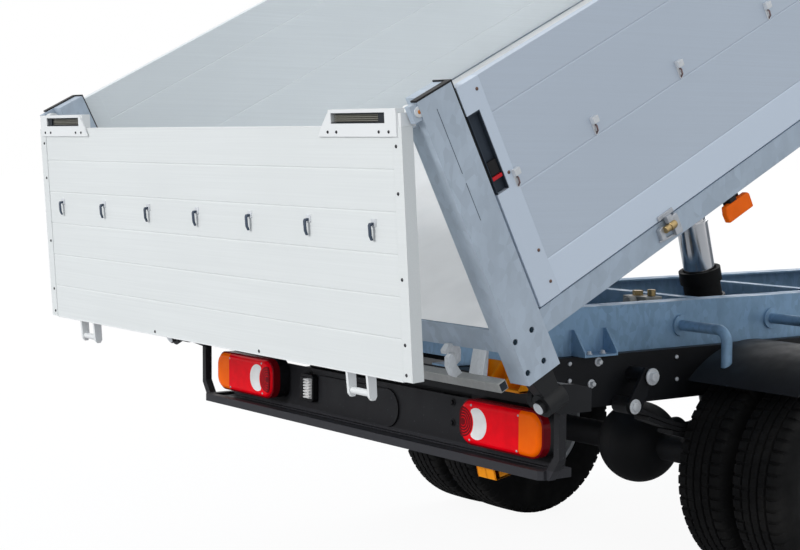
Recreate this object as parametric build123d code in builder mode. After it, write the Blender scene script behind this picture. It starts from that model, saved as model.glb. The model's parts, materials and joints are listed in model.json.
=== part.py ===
# Three-way tipper truck with its bed raised to the rear and its tailgate hanging open.
# Millimetres. X to the truck's left, Y to its rear, Z up, origin on the ground under its middle.
from build123d import *
from math import atan2, cos, degrees, hypot, radians, sin, sqrt
import os

os.makedirs("parts", exist_ok=True)

# Running gear
FRONT_AXLE_Y = -2360
REAR_AXLE_Y = 1320
TYRE_R = 345
TYRE_W = 196
RIM_R = 205
DISC_FLAT_R = 120
TWIN_SPACING = 229
TWIN_MID_X = 732
FRONT_WHEEL_X = 815
KINGPIN_X = 690
HUB_BORE_R = 36
SPINDLE_R = 35

# Chassis rails and the tipper's own frame on top of them
RAIL_X = 430
RAIL_FLANGE = 66
RAIL_BOTTOM = 568
RAIL_TOP = 728
RAIL_WALL = 6
RAIL_FRONT = -2900
RAIL_REAR = 2400
SUB_X = 400
SUB_FLANGE = 70
SUB_TOP = 875
SUB_WALL = 6
SUB_FRONT = -900
SUB_REAR = 2470

# Bed: tilt and rear hinge
TILT = 26.9
HINGE_Y = 2575
HINGE_Z = 715
HINGE_S = -13
HINGE_H = 26
BED_HALF = 1040
BED_FRONT = -3500
LUG_X = BED_HALF - 55
FLOOR_TOP = 281
FLOOR_PLATE = 5
FLOOR_RISE = 3
RAIL_DEPTH = 66
BEARER_BOTTOM = 195
BEAM_REAR = 74
POST_FRONT = -40
POST_REAR = 74
POST_W = 75
POST_BOTTOM = 124
POST_TOP = 918
BOARD_BOTTOM = 287
BOARD_H = 610
BOARD_W = 28
BOARD_REAR = -46
BOARD_GAP = 6
PLANK_SEAMS = (98, 303, 508)  # heights of the joints between planks, from a board's lower edge
GROOVE = 3

# Tailgate: hinge line on the bed and how far it hangs from the upright
GATE_S = 76
GATE_H = 893
GATE_LEAN = 3.6
GATE_HALF = BED_HALF - 25
GATE_HIGH = 620
GATE_DROP = 33
GATE_FACE = 4
GATE_THICK = 32
GATE_PIN_R = 10
GATE_PLANKS = 6
GATE_STRIP = 38

# Lifting ram
RAM_Y = 945
RAM_Z = 560
RAM_BALL_H = 222
RAM_LEAN_RATIO = 0.5

ROAD = Plane.XY
TILT_SIN = sin(radians(TILT))
TILT_COS = cos(radians(TILT))
# The bed's frame, placed so that the hinge is at HINGE_S along it and HINGE_H off it
BED = Plane(
    (0, HINGE_Y - HINGE_S * TILT_COS - HINGE_H * TILT_SIN, HINGE_Z + HINGE_S * TILT_SIN - HINGE_H * TILT_COS),
    x_dir=(1, 0, 0),
    z_dir=(0, TILT_SIN, TILT_COS),
)
GATE = Plane(
    BED.from_local_coords((0, GATE_S, GATE_H)),
    x_dir=(1, 0, 0),
    z_dir=(0, sin(radians(GATE_LEAN)), cos(radians(GATE_LEAN))),
)


# Sketch planes of a frame: side reads (along, up), cross reads (across, up), level reads (across, along)
def side(base, x):
    return Plane(base.from_local_coords((x, 0, 0)), x_dir=base.y_dir, z_dir=base.x_dir)


def cross(base, y):
    return Plane(base.from_local_coords((0, y, 0)), x_dir=base.x_dir, z_dir=-base.y_dir)


def level(base, z):
    return base.offset(z)


# A straight-sided piece between two values on each axis of a frame
def block(base, x, y, z, mode=Mode.ADD):
    with BuildSketch(level(base, z[0])) as outline:
        with Locations(((x[0] + x[1]) / 2, (y[0] + y[1]) / 2)):
            Rectangle(abs(x[1] - x[0]), abs(y[1] - y[0]))
    extrude(outline.sketch, amount=z[1] - z[0], mode=mode)


# A round bar between two points of a frame
def bar(base, start, end, radius, mode=Mode.ADD):
    a = base.from_local_coords(Vector(*start))
    b = base.from_local_coords(Vector(*end))
    with BuildSketch(Plane(a, z_dir=b - a)) as outline:
        Circle(radius)
    extrude(outline.sketch, amount=(b - a).length, mode=mode)


# A plate with a given outline (along, up), between two values across the frame
def plate(base, x, points, mode=Mode.ADD):
    with BuildSketch(side(base, x[0])) as outline:
        with BuildLine():
            Polyline(*points, close=True)
        make_face()
    extrude(outline.sketch, amount=x[1] - x[0], mode=mode)


# Two values of one axis in rising order, on the left (1) or the right (-1)
def span(sign, near, far):
    return tuple(sorted((sign * near, sign * far)))


# A round-ended plate (along, up): a lobe around a point, joined to a foot outline
def lobe(base, x, centre, radius, foot, mode=Mode.ADD):
    with BuildSketch(side(base, x[0])) as outline:
        with BuildLine():
            Polyline(*foot, close=True)
        make_face()
        with Locations(centre):
            Circle(radius)
    extrude(outline.sketch, amount=x[1] - x[0], mode=mode)


# Outline of a board of planks, from its lower to its upper edge, with a groove at each joint on both faces
def plank_outline(near, far, low, high, seams):
    depth = GROOVE / 2 if far > near else -GROOVE / 2
    up = [(near, low)]
    down = [(far, high)]
    for seam in seams:
        up += [(near, seam - GROOVE), (near + depth, seam), (near, seam + GROOVE)]
    for seam in reversed(seams):
        down += [(far, seam + GROOVE), (far - depth, seam), (far, seam - GROOVE)]
    return up + [(near, high)] + down + [(far, low)]


# A round tube along a path with rounded corners
def tube(points, radius, bend):
    with BuildLine() as path:
        FilletPolyline(*points, radius=bend)
    with BuildSketch(Plane(points[0], z_dir=Vector(*points[1]) - Vector(*points[0]))) as ring:
        Circle(radius)
    sweep(ring.sketch, path=path.line)


def save(built, name):
    built.part.label = name
    export_step(built.part, f"parts/{name}.step")
    print(name, len(built.part.solids()), round(built.part.volume / 1e6, 3))


# Chassis frame: two channel rails joined by cross members
FRAME_CROSS = [  # y, half depth, z low, z high
    (-2885, 14, 580, 716),
    (-1500, 30, 580, 716),
    (-600, 30, 580, 716),
    (300, 30, 580, 716),
    (700, 30, 580, 716),
    (1300, 40, 600, 716),
    (2360, 40, 580, 716),
]
CROSS_WALL = 6


# A channel across the frame, open to the front
def cross_channel(inner, y, half, low, high):
    block(ROAD, (-inner, inner), (y - half, y + half), (low, high))
    block(ROAD, (-inner, inner), (y - half - 1, y + half - CROSS_WALL),
          (low + CROSS_WALL, high - CROSS_WALL), Mode.SUBTRACT)


with BuildPart() as chassis_frame:
    for sign in (-1, 1):
        web = span(sign, RAIL_X - RAIL_WALL, RAIL_X)
        flange = span(sign, RAIL_X - RAIL_FLANGE, RAIL_X)
        along = (RAIL_FRONT, RAIL_REAR)
        block(ROAD, web, along, (RAIL_BOTTOM, RAIL_TOP))
        block(ROAD, flange, along, (RAIL_BOTTOM, RAIL_BOTTOM + RAIL_WALL))
        block(ROAD, flange, along, (RAIL_TOP - RAIL_WALL, RAIL_TOP))
    for y, half, low, high in FRAME_CROSS:
        cross_channel(RAIL_X - RAIL_WALL, y, half, low, high)
save(chassis_frame, "chassis_frame")

# Tipper frame: galvanised channels on the rails, with cross members, brackets and mudguard tubes
SUB_CROSS = [-860, -200, 700, 1300, 1800, 2440]
BRACKET_SPOTS = [-700, 420, 1923]
BRACKET_HALF = 68
BRACKET_REACH = 62
BRACKET_HIGH = 80
BRACKET_PLATE = 6
GUARD_R = 400
GUARD_WALL = 5
GUARD_X = (508, 958)
GUARD_TUBE = (1530, 797)
GUARD_TUBE_R = 17
FLANGE_R = 34
with BuildPart() as subframe:
    for sign in (-1, 1):
        web = span(sign, SUB_X - SUB_WALL, SUB_X)
        flange = span(sign, SUB_X - SUB_FLANGE, SUB_X)
        along = (SUB_FRONT, SUB_REAR)
        block(ROAD, web, along, (RAIL_TOP, SUB_TOP))
        block(ROAD, flange, along, (RAIL_TOP, RAIL_TOP + SUB_WALL))
        block(ROAD, flange, along, (SUB_TOP - SUB_WALL, SUB_TOP))
        for y in BRACKET_SPOTS:
            for end in (y - BRACKET_HALF, y + BRACKET_HALF - BRACKET_PLATE):
                with BuildSketch(cross(ROAD, end + BRACKET_PLATE)) as gusset:
                    with BuildLine():
                        Polyline((sign * SUB_X, RAIL_TOP), (sign * (SUB_X + BRACKET_REACH), RAIL_TOP),
                                 (sign * (SUB_X + BRACKET_REACH), RAIL_TOP + 14),
                                 (sign * (SUB_X + 12), RAIL_TOP + BRACKET_HIGH),
                                 (sign * SUB_X, RAIL_TOP + BRACKET_HIGH), close=True)
                    make_face()
                extrude(gusset.sketch, amount=BRACKET_PLATE)
            block(ROAD, span(sign, SUB_X, SUB_X + BRACKET_REACH), (y - BRACKET_HALF, y + BRACKET_HALF),
                  (RAIL_TOP, RAIL_TOP + BRACKET_PLATE))
        for y in (GUARD_TUBE[0], 2 * REAR_AXLE_Y - GUARD_TUBE[0]):
            top = (sign * (SUB_X + 205), y, GUARD_TUBE[1])
            foot_z = TYRE_R + sqrt((GUARD_R + GUARD_WALL) ** 2 - (y - REAR_AXLE_Y) ** 2) - GUARD_TUBE_R
            tube([(sign * SUB_X, y, GUARD_TUBE[1]), top, (top[0], y, foot_z)], GUARD_TUBE_R, 40)
            bar(ROAD, (sign * SUB_X, y, GUARD_TUBE[1]), (sign * (SUB_X + 8), y, GUARD_TUBE[1]), FLANGE_R)
        bar(ROAD, (sign * GUARD_X[0], REAR_AXLE_Y, TYRE_R), (sign * GUARD_X[1], REAR_AXLE_Y, TYRE_R),
            GUARD_R + GUARD_WALL, Mode.SUBTRACT)
    for y in SUB_CROSS:
        cross_channel(SUB_X - SUB_WALL, y, 25, RAIL_TOP + 30, SUB_TOP - 12)
save(subframe, "subframe")

# Pivot beam: a square tube behind the rails, with a round-ended arm and a trunnion at each end
BEAM_Y = (RAIL_REAR, RAIL_REAR + 62)
BEAM_Z = (662, 726)
ARM_X = (LUG_X - 60, LUG_X - 40)
TRUNNION_R = 14
ARM_R = 34
with BuildPart() as pivot_beam:
    block(ROAD, (-ARM_X[1], ARM_X[1]), BEAM_Y, BEAM_Z)
    for sign in (-1, 1):
        foot = [(BEAM_Y[0], BEAM_Z[0]), (BEAM_Y[1] + 50, BEAM_Z[0]), (HINGE_Y + ARM_R - 8, HINGE_Z - 18),
                (HINGE_Y + 6, HINGE_Z + ARM_R - 1), (BEAM_Y[1], BEAM_Z[1] + 14), (BEAM_Y[0], BEAM_Z[1])]
        lobe(ROAD, span(sign, *ARM_X), (HINGE_Y, HINGE_Z), ARM_R, foot)
        bar(ROAD, (sign * (ARM_X[1] - 2), HINGE_Y, HINGE_Z), (sign * LUG_X, HINGE_Y, HINGE_Z), TRUNNION_R)
save(pivot_beam, "pivot_beam")

# Rear bumper: a tread plate in a square tube, a back plate with a number plate pad, and an upright at each end
STEP_HALF = BED_HALF - 145
BUMPER_REAR = 2534
BUMPER_BACK = RAIL_REAR + 30
BACK_PLATE = 6
BACK_TOP = 640
TUBE = 25
RIM_TOP = 505
STEP_TOP = RIM_TOP - 9
STEP_PLATE = 8
BRACKET_LOW = 500
UPRIGHT_Y = (2488, 2512)
UPRIGHT_W = 22
PLATE_X = (-115, 320)
PLATE_Z = (507, 622)
PLATE_RISE = 6
PLATE_END = 70
RIB_PITCH = 30
RIB_HIGH = 2
with BuildPart() as rear_bumper:
    rim_low = RIM_TOP - TUBE
    with BuildSketch(level(ROAD, rim_low)) as rim_outline:
        with BuildLine():
            Polyline((-STEP_HALF, BUMPER_BACK), (-STEP_HALF, BUMPER_REAR - 12), (-STEP_HALF + 12, BUMPER_REAR),
                     (STEP_HALF - 12, BUMPER_REAR), (STEP_HALF, BUMPER_REAR - 12), (STEP_HALF, BUMPER_BACK), close=True)
        make_face()
    extrude(rim_outline.sketch, amount=TUBE)
    inner = STEP_HALF - TUBE
    block(ROAD, (-inner, inner), (BUMPER_BACK - 1, BUMPER_REAR - TUBE), (STEP_TOP, RIM_TOP + 1), Mode.SUBTRACT)
    block(ROAD, (-inner, inner), (BUMPER_BACK - 1, BUMPER_REAR - TUBE), (rim_low - 1, STEP_TOP - STEP_PLATE), Mode.SUBTRACT)
    for row in range(3):
        y = BUMPER_BACK + 16 + row * RIB_PITCH
        block(ROAD, (-inner + 20, inner - 20), (y, y + 8), (STEP_TOP - 1, STEP_TOP + RIB_HIGH))
    block(ROAD, (-inner, inner), (BUMPER_BACK - BACK_PLATE, BUMPER_BACK), (rim_low, BACK_TOP))
    block(ROAD, (-STEP_HALF, STEP_HALF), (BUMPER_BACK - BACK_PLATE, BUMPER_BACK), (rim_low, RIM_TOP))
    with BuildSketch(cross(ROAD, BUMPER_BACK + PLATE_RISE)) as pad:
        with BuildLine():
            Line((PLATE_X[1], PLATE_Z[0]), (PLATE_X[1], PLATE_Z[1]))
            Line((PLATE_X[1], PLATE_Z[1]), (PLATE_X[0] + PLATE_END, PLATE_Z[1]))
            ThreePointArc((PLATE_X[0] + PLATE_END, PLATE_Z[1]), (PLATE_X[0], (PLATE_Z[0] + PLATE_Z[1]) / 2), (PLATE_X[0] + PLATE_END, PLATE_Z[0]))
            Line((PLATE_X[0] + PLATE_END, PLATE_Z[0]), (PLATE_X[1], PLATE_Z[0]))
        make_face()
    extrude(pad.sketch, amount=PLATE_RISE + 1)
    for sign in (-1, 1):
        near = STEP_HALF - TUBE
        far = ARM_X[1]
        with BuildSketch(cross(ROAD, UPRIGHT_Y[1])) as upright:
            with BuildLine():
                Polyline((sign * near, rim_low), (sign * (far - 40), rim_low), (sign * far, rim_low + 58),
                         (sign * far, BEAM_Z[0]), (sign * (far - UPRIGHT_W), BEAM_Z[0]),
                         (sign * (far - UPRIGHT_W), RIM_TOP + 42), (sign * (far - 52), RIM_TOP), (sign * near, RIM_TOP),
                         close=True)
            make_face()
        extrude(upright.sketch, amount=UPRIGHT_Y[1] - UPRIGHT_Y[0])
        block(ROAD, span(sign, RAIL_X - 100, RAIL_X - 10), (RAIL_REAR, BUMPER_BACK - BACK_PLATE + 1), (BRACKET_LOW, BACK_TOP))
save(rear_bumper, "rear_bumper")

# Rear lamps: a black housing on the back plate, a domed lens with its fields parted by grooves, and a plate lamp
LAMP_MID_X = STEP_HALF - 213
LAMP_W = 357
LAMP_H = 130
LAMP_Z = 590
LAMP_FACE_Y = 2490
LENS_FROM_Y = 2462
FIELD_X = LAMP_MID_X + 94  # joint between the outer and the middle field
CRESCENT_X = (LAMP_MID_X - 134, 30, 52)  # centre of the round inner field, its radius and the radius outside the white crescent
with BuildPart() as rear_lamps:
    for sign in (-1, 1):
        with BuildSketch(cross(ROAD, LENS_FROM_Y)) as housing:
            with Locations((sign * LAMP_MID_X, LAMP_Z)):
                RectangleRounded(LAMP_W, LAMP_H, 40)
        extrude(housing.sketch, amount=LENS_FROM_Y - BUMPER_BACK)
        with BuildSketch(cross(ROAD, LAMP_FACE_Y)) as face:
            with Locations((sign * LAMP_MID_X, LAMP_Z)):
                RectangleRounded(LAMP_W - 8, LAMP_H - 8, 36)
        extrude(face.sketch, amount=LAMP_FACE_Y - LENS_FROM_Y + 1)
    fillet(rear_lamps.faces().sort_by(Axis.Y)[-2:].edges(), 11)
    for sign in (-1, 1):
        block(ROAD, span(sign, FIELD_X - 1, FIELD_X + 1), (LAMP_FACE_Y - 3, LAMP_FACE_Y + 1),
              (LAMP_Z - LAMP_H, LAMP_Z + LAMP_H), Mode.SUBTRACT)
        for radius in CRESCENT_X[1:]:
            with BuildSketch(cross(ROAD, LAMP_FACE_Y + 1)) as ring:
                with Locations((sign * CRESCENT_X[0], LAMP_Z)):
                    Circle(radius + 1)
                    Circle(radius - 1, mode=Mode.SUBTRACT)
            extrude(ring.sketch, amount=4, mode=Mode.SUBTRACT)
    with BuildSketch(cross(ROAD, BUMPER_BACK + 38)) as plate_lamp:
        with Locations((371, 577)):
            RectangleRounded(74, 90, 20)
    extrude(plate_lamp.sketch, amount=38)
save(rear_lamps, "rear_lamps")

# Wheel chocks: ribbed wedges, one under the step and one on the back plate beside the pivot beam
CHOCK_WALL = 7
with BuildPart() as wheel_chocks:
    low_wedge = [(2360, RIM_TOP - TUBE), (2505, RIM_TOP - TUBE), (2495, 418), (2365, 452)]
    for x in (-705, -655, -612):
        plate(ROAD, (x, x + CHOCK_WALL), low_wedge)
    plate(ROAD, (-705, -605), [(2485, RIM_TOP - TUBE), (2505, RIM_TOP - TUBE), (2495, 418), (2475, 424)])
    plate(ROAD, (-705, -605), [(2360, 460), (2505, 426), (2495, 418), (2365, 452)])
    high = BEAM_Z[1]
    high_wedge = [(2402, high), (2458, high), (2458, high + 92), (2440, high + 100), (2402, high + 20)]
    for x in (-610, -548, -486, -424):
        plate(ROAD, (x, x + CHOCK_WALL), high_wedge)
    plate(ROAD, (-610, -417), [(2448, high), (2458, high), (2458, high + 92), (2448, high + 96)])
    plate(ROAD, (-610, -417), [(2402, high), (2458, high), (2458, high + 8), (2402, high + 8)])
save(wheel_chocks, "wheel_chocks")

# Leaf springs: an arched pack over the axle on each side
SPRING_X = 470
AXLE_TUBE_R = 46
SPRING_W = 66
EYE_REAR = (1831, 580)
EYE_FRONT = (690, 560)
LEAF = 13
LEAVES = [(1.0, 0), (0.86, 1), (0.66, 2), (0.46, 3)]  # share of the span, place in the pack
PAD_Z = 452
with BuildPart() as leaf_springs:
    for side_sign in (-1, 1):
        edge = sorted((side_sign * (SPRING_X - SPRING_W / 2), side_sign * (SPRING_X + SPRING_W / 2)))
        for share, row in LEAVES:
            rear = (REAR_AXLE_Y + (EYE_REAR[0] - REAR_AXLE_Y) * share, PAD_Z + (EYE_REAR[1] - PAD_Z) * share ** 2)
            front = (REAR_AXLE_Y + (EYE_FRONT[0] - REAR_AXLE_Y) * share, PAD_Z + (EYE_FRONT[1] - PAD_Z) * share ** 2)
            drop = row * LEAF
            with BuildSketch(side(ROAD, edge[0])):
                with BuildLine():
                    ThreePointArc((front[0], front[1] - drop), (REAR_AXLE_Y, PAD_Z - drop), (rear[0], rear[1] - drop))
                    Line((rear[0], rear[1] - drop), (rear[0], rear[1] - drop - LEAF))
                    ThreePointArc((rear[0], rear[1] - drop - LEAF), (REAR_AXLE_Y, PAD_Z - drop - LEAF),
                                  (front[0], front[1] - drop - LEAF))
                    Line((front[0], front[1] - drop - LEAF), (front[0], front[1] - drop))
                make_face()
            extrude(amount=SPRING_W)
        for y, z in (EYE_REAR, EYE_FRONT):
            bar(ROAD, (edge[0], y, z - LEAF / 2), (edge[1], y, z - LEAF / 2), 26)
        block(ROAD, edge, (REAR_AXLE_Y - 60, REAR_AXLE_Y + 60), (TYRE_R + 20, PAD_Z + 12))
    bar(ROAD, (-690, REAR_AXLE_Y, TYRE_R), (690, REAR_AXLE_Y, TYRE_R), AXLE_TUBE_R, Mode.SUBTRACT)
save(leaf_springs, "leaf_springs")

# Spring hangers: front bracket and rear shackle on each rail
SHACKLE_TOP = (1770, 662)
with BuildPart() as spring_hangers:
    for side_sign in (-1, 1):
        inner, outer = RAIL_X, SPRING_X + SPRING_W / 2 + 14
        foot = [(EYE_FRONT[0] - 60, 700), (EYE_FRONT[0] + 60, 700), (EYE_FRONT[0] + 34, 530), (EYE_FRONT[0] - 34, 530)]
        for x0, x1 in ((inner, inner + 6), (outer - 8, outer)):
            plate(ROAD, sorted((side_sign * x0, side_sign * x1)), foot)
        block(ROAD, sorted((side_sign * inner, side_sign * outer)), (EYE_FRONT[0] - 60, EYE_FRONT[0] + 60), (690, 704))
        bar(ROAD, (side_sign * inner, SHACKLE_TOP[0], SHACKLE_TOP[1]), (side_sign * (outer + 8), SHACKLE_TOP[0], SHACKLE_TOP[1]), 24)
        arm = [(1742, 680), (1790, 690), (1858, 586), (1836, 548), (1806, 560)]
        plate(ROAD, sorted((side_sign * (outer - 12), side_sign * outer)), arm)
save(spring_hangers, "spring_hangers")

# Rear axle: a tube with the differential in its middle and a spindle at each end
DIFF_R = 140
SPINDLE_END = 770
with BuildPart() as rear_axle:
    bar(ROAD, (-690, REAR_AXLE_Y, TYRE_R), (690, REAR_AXLE_Y, TYRE_R), AXLE_TUBE_R)
    bar(ROAD, (-SPINDLE_END, REAR_AXLE_Y, TYRE_R), (SPINDLE_END, REAR_AXLE_Y, TYRE_R), SPINDLE_R)
    with Locations((0, REAR_AXLE_Y, TYRE_R)):
        Sphere(DIFF_R)
    bar(ROAD, (0, REAR_AXLE_Y - 190, TYRE_R + 10), (0, REAR_AXLE_Y, TYRE_R), 60)
save(rear_axle, "rear_axle")

# Drive shaft: from the gearbox back to the differential
SHAFT_FRONT = (0, -1644, 520)
SHAFT_REAR = (0, REAR_AXLE_Y - 196, TYRE_R + 10)
with BuildPart() as drive_shaft:
    bar(ROAD, SHAFT_FRONT, SHAFT_REAR, 36)
save(drive_shaft, "drive_shaft")

# Engine and gearbox as plain masses
with BuildPart() as engine_block:
    block(ROAD, (-250, 250), (-2850, -2345), (480, 1020))
    block(ROAD, (-150, 150), (-2345, -1650), (425, 690))
save(engine_block, "engine_block")

# Front cross member with an upper and a lower arm to each knuckle
ARM_LOW_Z = 262
ARM_HIGH_Z = 520
with BuildPart() as front_suspension:
    block(ROAD, (-330, 330), (FRONT_AXLE_Y - 110, FRONT_AXLE_Y + 110), (250, 400))
    for side_sign in (-1, 1):
        block(ROAD, sorted((side_sign * 290, side_sign * 360)), (FRONT_AXLE_Y - 90, FRONT_AXLE_Y + 90), (330, RAIL_BOTTOM))
        for z, reach in ((ARM_LOW_Z, 150), (ARM_HIGH_Z, 90)):
            with BuildSketch(level(ROAD, z)):
                with BuildLine():
                    Polyline(
                        (side_sign * 320, FRONT_AXLE_Y - reach), (side_sign * 320, FRONT_AXLE_Y + reach),
                        (side_sign * 600, FRONT_AXLE_Y + 40), (side_sign * 712, FRONT_AXLE_Y + 24),
                        (side_sign * 712, FRONT_AXLE_Y - 24), (side_sign * 600, FRONT_AXLE_Y - 40), close=True,
                    )
                make_face()
            extrude(amount=24)
save(front_suspension, "front_suspension")

# Wheels, seen along the axle: tyre sections and pressed steel rims
TYRE_SECTION = [(-0.44, 0.60), (-0.5, 0.72), (-0.5, 0.86), (-0.41, 1.0), (0.41, 1.0), (0.5, 0.86), (0.5, 0.72), (0.44, 0.60)]


# One tyre around an axle line, from its half section (share of width, share of radius)
def tyre(x, y):
    with BuildSketch(cross(ROAD, y)) as section:
        with BuildLine():
            Polyline(*[(x + TYRE_W * w, TYRE_R + TYRE_R * r) for w, r in TYRE_SECTION], close=True)
        make_face()
    revolve(section.sketch, axis=Axis((0, y, TYRE_R), (1, 0, 0)), revolution_arc=360)


# One rim: a barrel, a dished disc from its edge at bead_x to the hub at disc_x, with round holes
def rim(x, y, disc_x, bead_x):
    inner = RIM_R - 14
    half = TYRE_W * 0.42
    with BuildSketch(cross(ROAD, y)) as section:
        with Locations((x, TYRE_R + (inner + RIM_R) / 2)):
            Rectangle(2 * half, RIM_R - inner)
        with BuildLine():
            Polyline(
                (disc_x - 6, TYRE_R + HUB_BORE_R), (disc_x - 6, TYRE_R + DISC_FLAT_R),
                (bead_x - 6, TYRE_R + inner + 4), (bead_x + 6, TYRE_R + inner + 4),
                (disc_x + 6, TYRE_R + DISC_FLAT_R), (disc_x + 6, TYRE_R + HUB_BORE_R), close=True,
            )
        make_face()
    revolve(section.sketch, axis=Axis((0, y, TYRE_R), (1, 0, 0)), revolution_arc=360)
    low, high = sorted((disc_x, bead_x))
    with BuildSketch(Plane((low - 20, y, TYRE_R), z_dir=(1, 0, 0))) as holes:
        with PolarLocations(148, 8):
            Circle(22)
    extrude(holes.sketch, amount=high - low + 40, mode=Mode.SUBTRACT)


WHEEL_SIDES = [("left", 1), ("right", -1)]
for hand, sign in WHEEL_SIDES:
    x = sign * FRONT_WHEEL_X
    with BuildPart() as front_tyre:
        tyre(x, FRONT_AXLE_Y)
    save(front_tyre, f"front_tyre_{hand}")
    with BuildPart() as front_rim:
        rim(x, FRONT_AXLE_Y, x + sign * 74, x + sign * 60)
        bar(ROAD, (x - sign * 10, FRONT_AXLE_Y, TYRE_R), (x + sign * 104, FRONT_AXLE_Y, TYRE_R), 72)
        bar(ROAD, (x - sign * 12, FRONT_AXLE_Y, TYRE_R), (x + sign * 66, FRONT_AXLE_Y, TYRE_R), HUB_BORE_R, Mode.SUBTRACT)
    save(front_rim, f"front_rim_{hand}")
    with BuildPart() as knuckle:
        kx = sign * KINGPIN_X
        bar(ROAD, (kx, FRONT_AXLE_Y, ARM_LOW_Z + 30), (kx, FRONT_AXLE_Y, ARM_HIGH_Z - 6), 24)
        bar(ROAD, (kx, FRONT_AXLE_Y, TYRE_R), (x + sign * 60, FRONT_AXLE_Y, TYRE_R), SPINDLE_R)
        block(ROAD, sorted((kx - sign * 26, kx + sign * 26)), (FRONT_AXLE_Y - 45, FRONT_AXLE_Y + 45), (300, 400))
    save(knuckle, f"knuckle_{hand}")
    with BuildPart() as rear_tyres:
        for apart in (-TWIN_SPACING / 2, TWIN_SPACING / 2):
            tyre(sign * TWIN_MID_X + apart, REAR_AXLE_Y)
    save(rear_tyres, f"rear_tyres_{hand}")
    with BuildPart() as rear_rims:
        for side_sign in (-1, 1):
            mid = sign * TWIN_MID_X + side_sign * TWIN_SPACING / 2
            rim(mid, REAR_AXLE_Y, sign * TWIN_MID_X + side_sign * 6, mid - side_sign * 74)
        hub_mid = sign * TWIN_MID_X
        bar(ROAD, (hub_mid - 20, REAR_AXLE_Y, TYRE_R), (hub_mid + 20, REAR_AXLE_Y, TYRE_R), 84)
        bar(ROAD, (hub_mid, REAR_AXLE_Y, TYRE_R), (hub_mid + sign * 120, REAR_AXLE_Y, TYRE_R), 68)
        bar(ROAD, (hub_mid - sign * 30, REAR_AXLE_Y, TYRE_R), (hub_mid + sign * 60, REAR_AXLE_Y, TYRE_R), HUB_BORE_R, Mode.SUBTRACT)
    save(rear_rims, f"rear_rims_{hand}")

# Cab outlines: side view (along, up), front half and plan half, all outside sizes
CAB_HALF = 1035
CAB_WALL = 55
ROOF_HALF = (CAB_HALF - 105, CAB_HALF - 155, CAB_HALF - 265)  # where the side ends, on the bend, where the roof starts
NOSE_HALF = CAB_HALF - 235
CAB_REAR = -1040
CAB_LOW = 430
CAB_FLOOR = (738, 790)
ARCH_R = 392
WINDOW_GLASS = 5
WAIST = 1300


# The cab's outside form, with every outline drawn in by inset
def cab_form(inset):
    with BuildPart() as form:
        with BuildSketch(side(ROAD, -CAB_HALF - 10)) as profile:
            with BuildLine():
                Polyline((-3040, CAB_LOW), (-3060, 880))
                ThreePointArc((-3060, 880), (-3040, 1020), (-2950, 1110))
                Polyline((-2950, 1110), (-2480, 1290), (-1890, 2110))
                ThreePointArc((-1890, 2110), (-1780, 2200), (-1640, 2238))
                Line((-1640, 2238), (-1160, 2225))
                ThreePointArc((-1160, 2225), (-1075, 2190), (CAB_REAR, 2110))
                Polyline((CAB_REAR, 2110), (CAB_REAR, CAB_LOW), (-3040, CAB_LOW))
            make_face()
            if inset:
                offset(amount=-inset)
        extrude(profile.sketch, amount=2 * CAB_HALF + 20)
        side_end, bend, roof = ROOF_HALF
        with BuildSketch(cross(ROAD, -900)) as front:
            with BuildLine():
                Polyline((-CAB_HALF + 12, CAB_LOW), (-CAB_HALF, 700), (-CAB_HALF, 1200), (-side_end, 2040))
                ThreePointArc((-side_end, 2040), (-bend, 2150), (-roof, 2205))
                ThreePointArc((-roof, 2205), (0, 2245), (roof, 2205))
                ThreePointArc((roof, 2205), (bend, 2150), (side_end, 2040))
                Polyline((side_end, 2040), (CAB_HALF, 1200), (CAB_HALF, 700), (CAB_HALF - 12, CAB_LOW), (-CAB_HALF + 12, CAB_LOW))
            make_face()
            if inset:
                offset(amount=-inset)
        extrude(front.sketch, amount=2300, mode=Mode.INTERSECT)
        with BuildSketch(level(ROAD, 300)) as plan:
            with BuildLine():
                Polyline((-CAB_HALF, CAB_REAR), (-CAB_HALF, -2300))
                ThreePointArc((-CAB_HALF, -2300), (50 - CAB_HALF, -2720), (-NOSE_HALF, -2960))
                ThreePointArc((-NOSE_HALF, -2960), (0, -3060), (NOSE_HALF, -2960))
                ThreePointArc((NOSE_HALF, -2960), (CAB_HALF - 50, -2720), (CAB_HALF, -2300))
                Polyline((CAB_HALF, -2300), (CAB_HALF, CAB_REAR), (-CAB_HALF, CAB_REAR))
            make_face()
            if inset:
                offset(amount=-inset)
        extrude(plan.sketch, amount=2100, mode=Mode.INTERSECT)
    return form.part


outer_form = cab_form(0)
inner_form = cab_form(CAB_WALL)
glass_form = cab_form(WINDOW_GLASS)

# Door outline in side view, and its window
DOOR_FRONT = -2224
DOOR_REAR = -1160
DOOR_GAP = 6
DOOR_LOW = 470
DOOR = [(DOOR_FRONT, 1292), (DOOR_FRONT, 800), (-2180, 790), (-2040, 700), (-1935, 560), (-1910, DOOR_LOW),
        (DOOR_REAR, DOOR_LOW), (DOOR_REAR, 2060), (-1800, 2060)]
DOOR_WINDOW = [(-2140, WAIST + 20), (-1240, WAIST + 20), (-1240, 1985), (-1800, 1985)]
# A door is cut to the arc that its hinge allows inside the opening
DOOR_HINGE = (CAB_HALF + 2, DOOR_FRONT - 12)
DOOR_REACH = DOOR_REAR - DOOR_HINGE[1] + 1
BONNET_REAR = -2510
BONNET_HALF = CAB_HALF - 235
BONNET_NOSE = 960


# An outline (along, up) cut right across the cab, grown by gap
def side_prism(points, gap=0, x=(-1200, 1200)):
    with BuildPart() as prism:
        with BuildSketch(side(ROAD, x[0])) as outline:
            with BuildLine():
                Polyline(*points, close=True)
            make_face()
            if gap:
                offset(amount=gap, kind=Kind.INTERSECTION)
        extrude(outline.sketch, amount=x[1] - x[0])
    return prism.part


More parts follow.
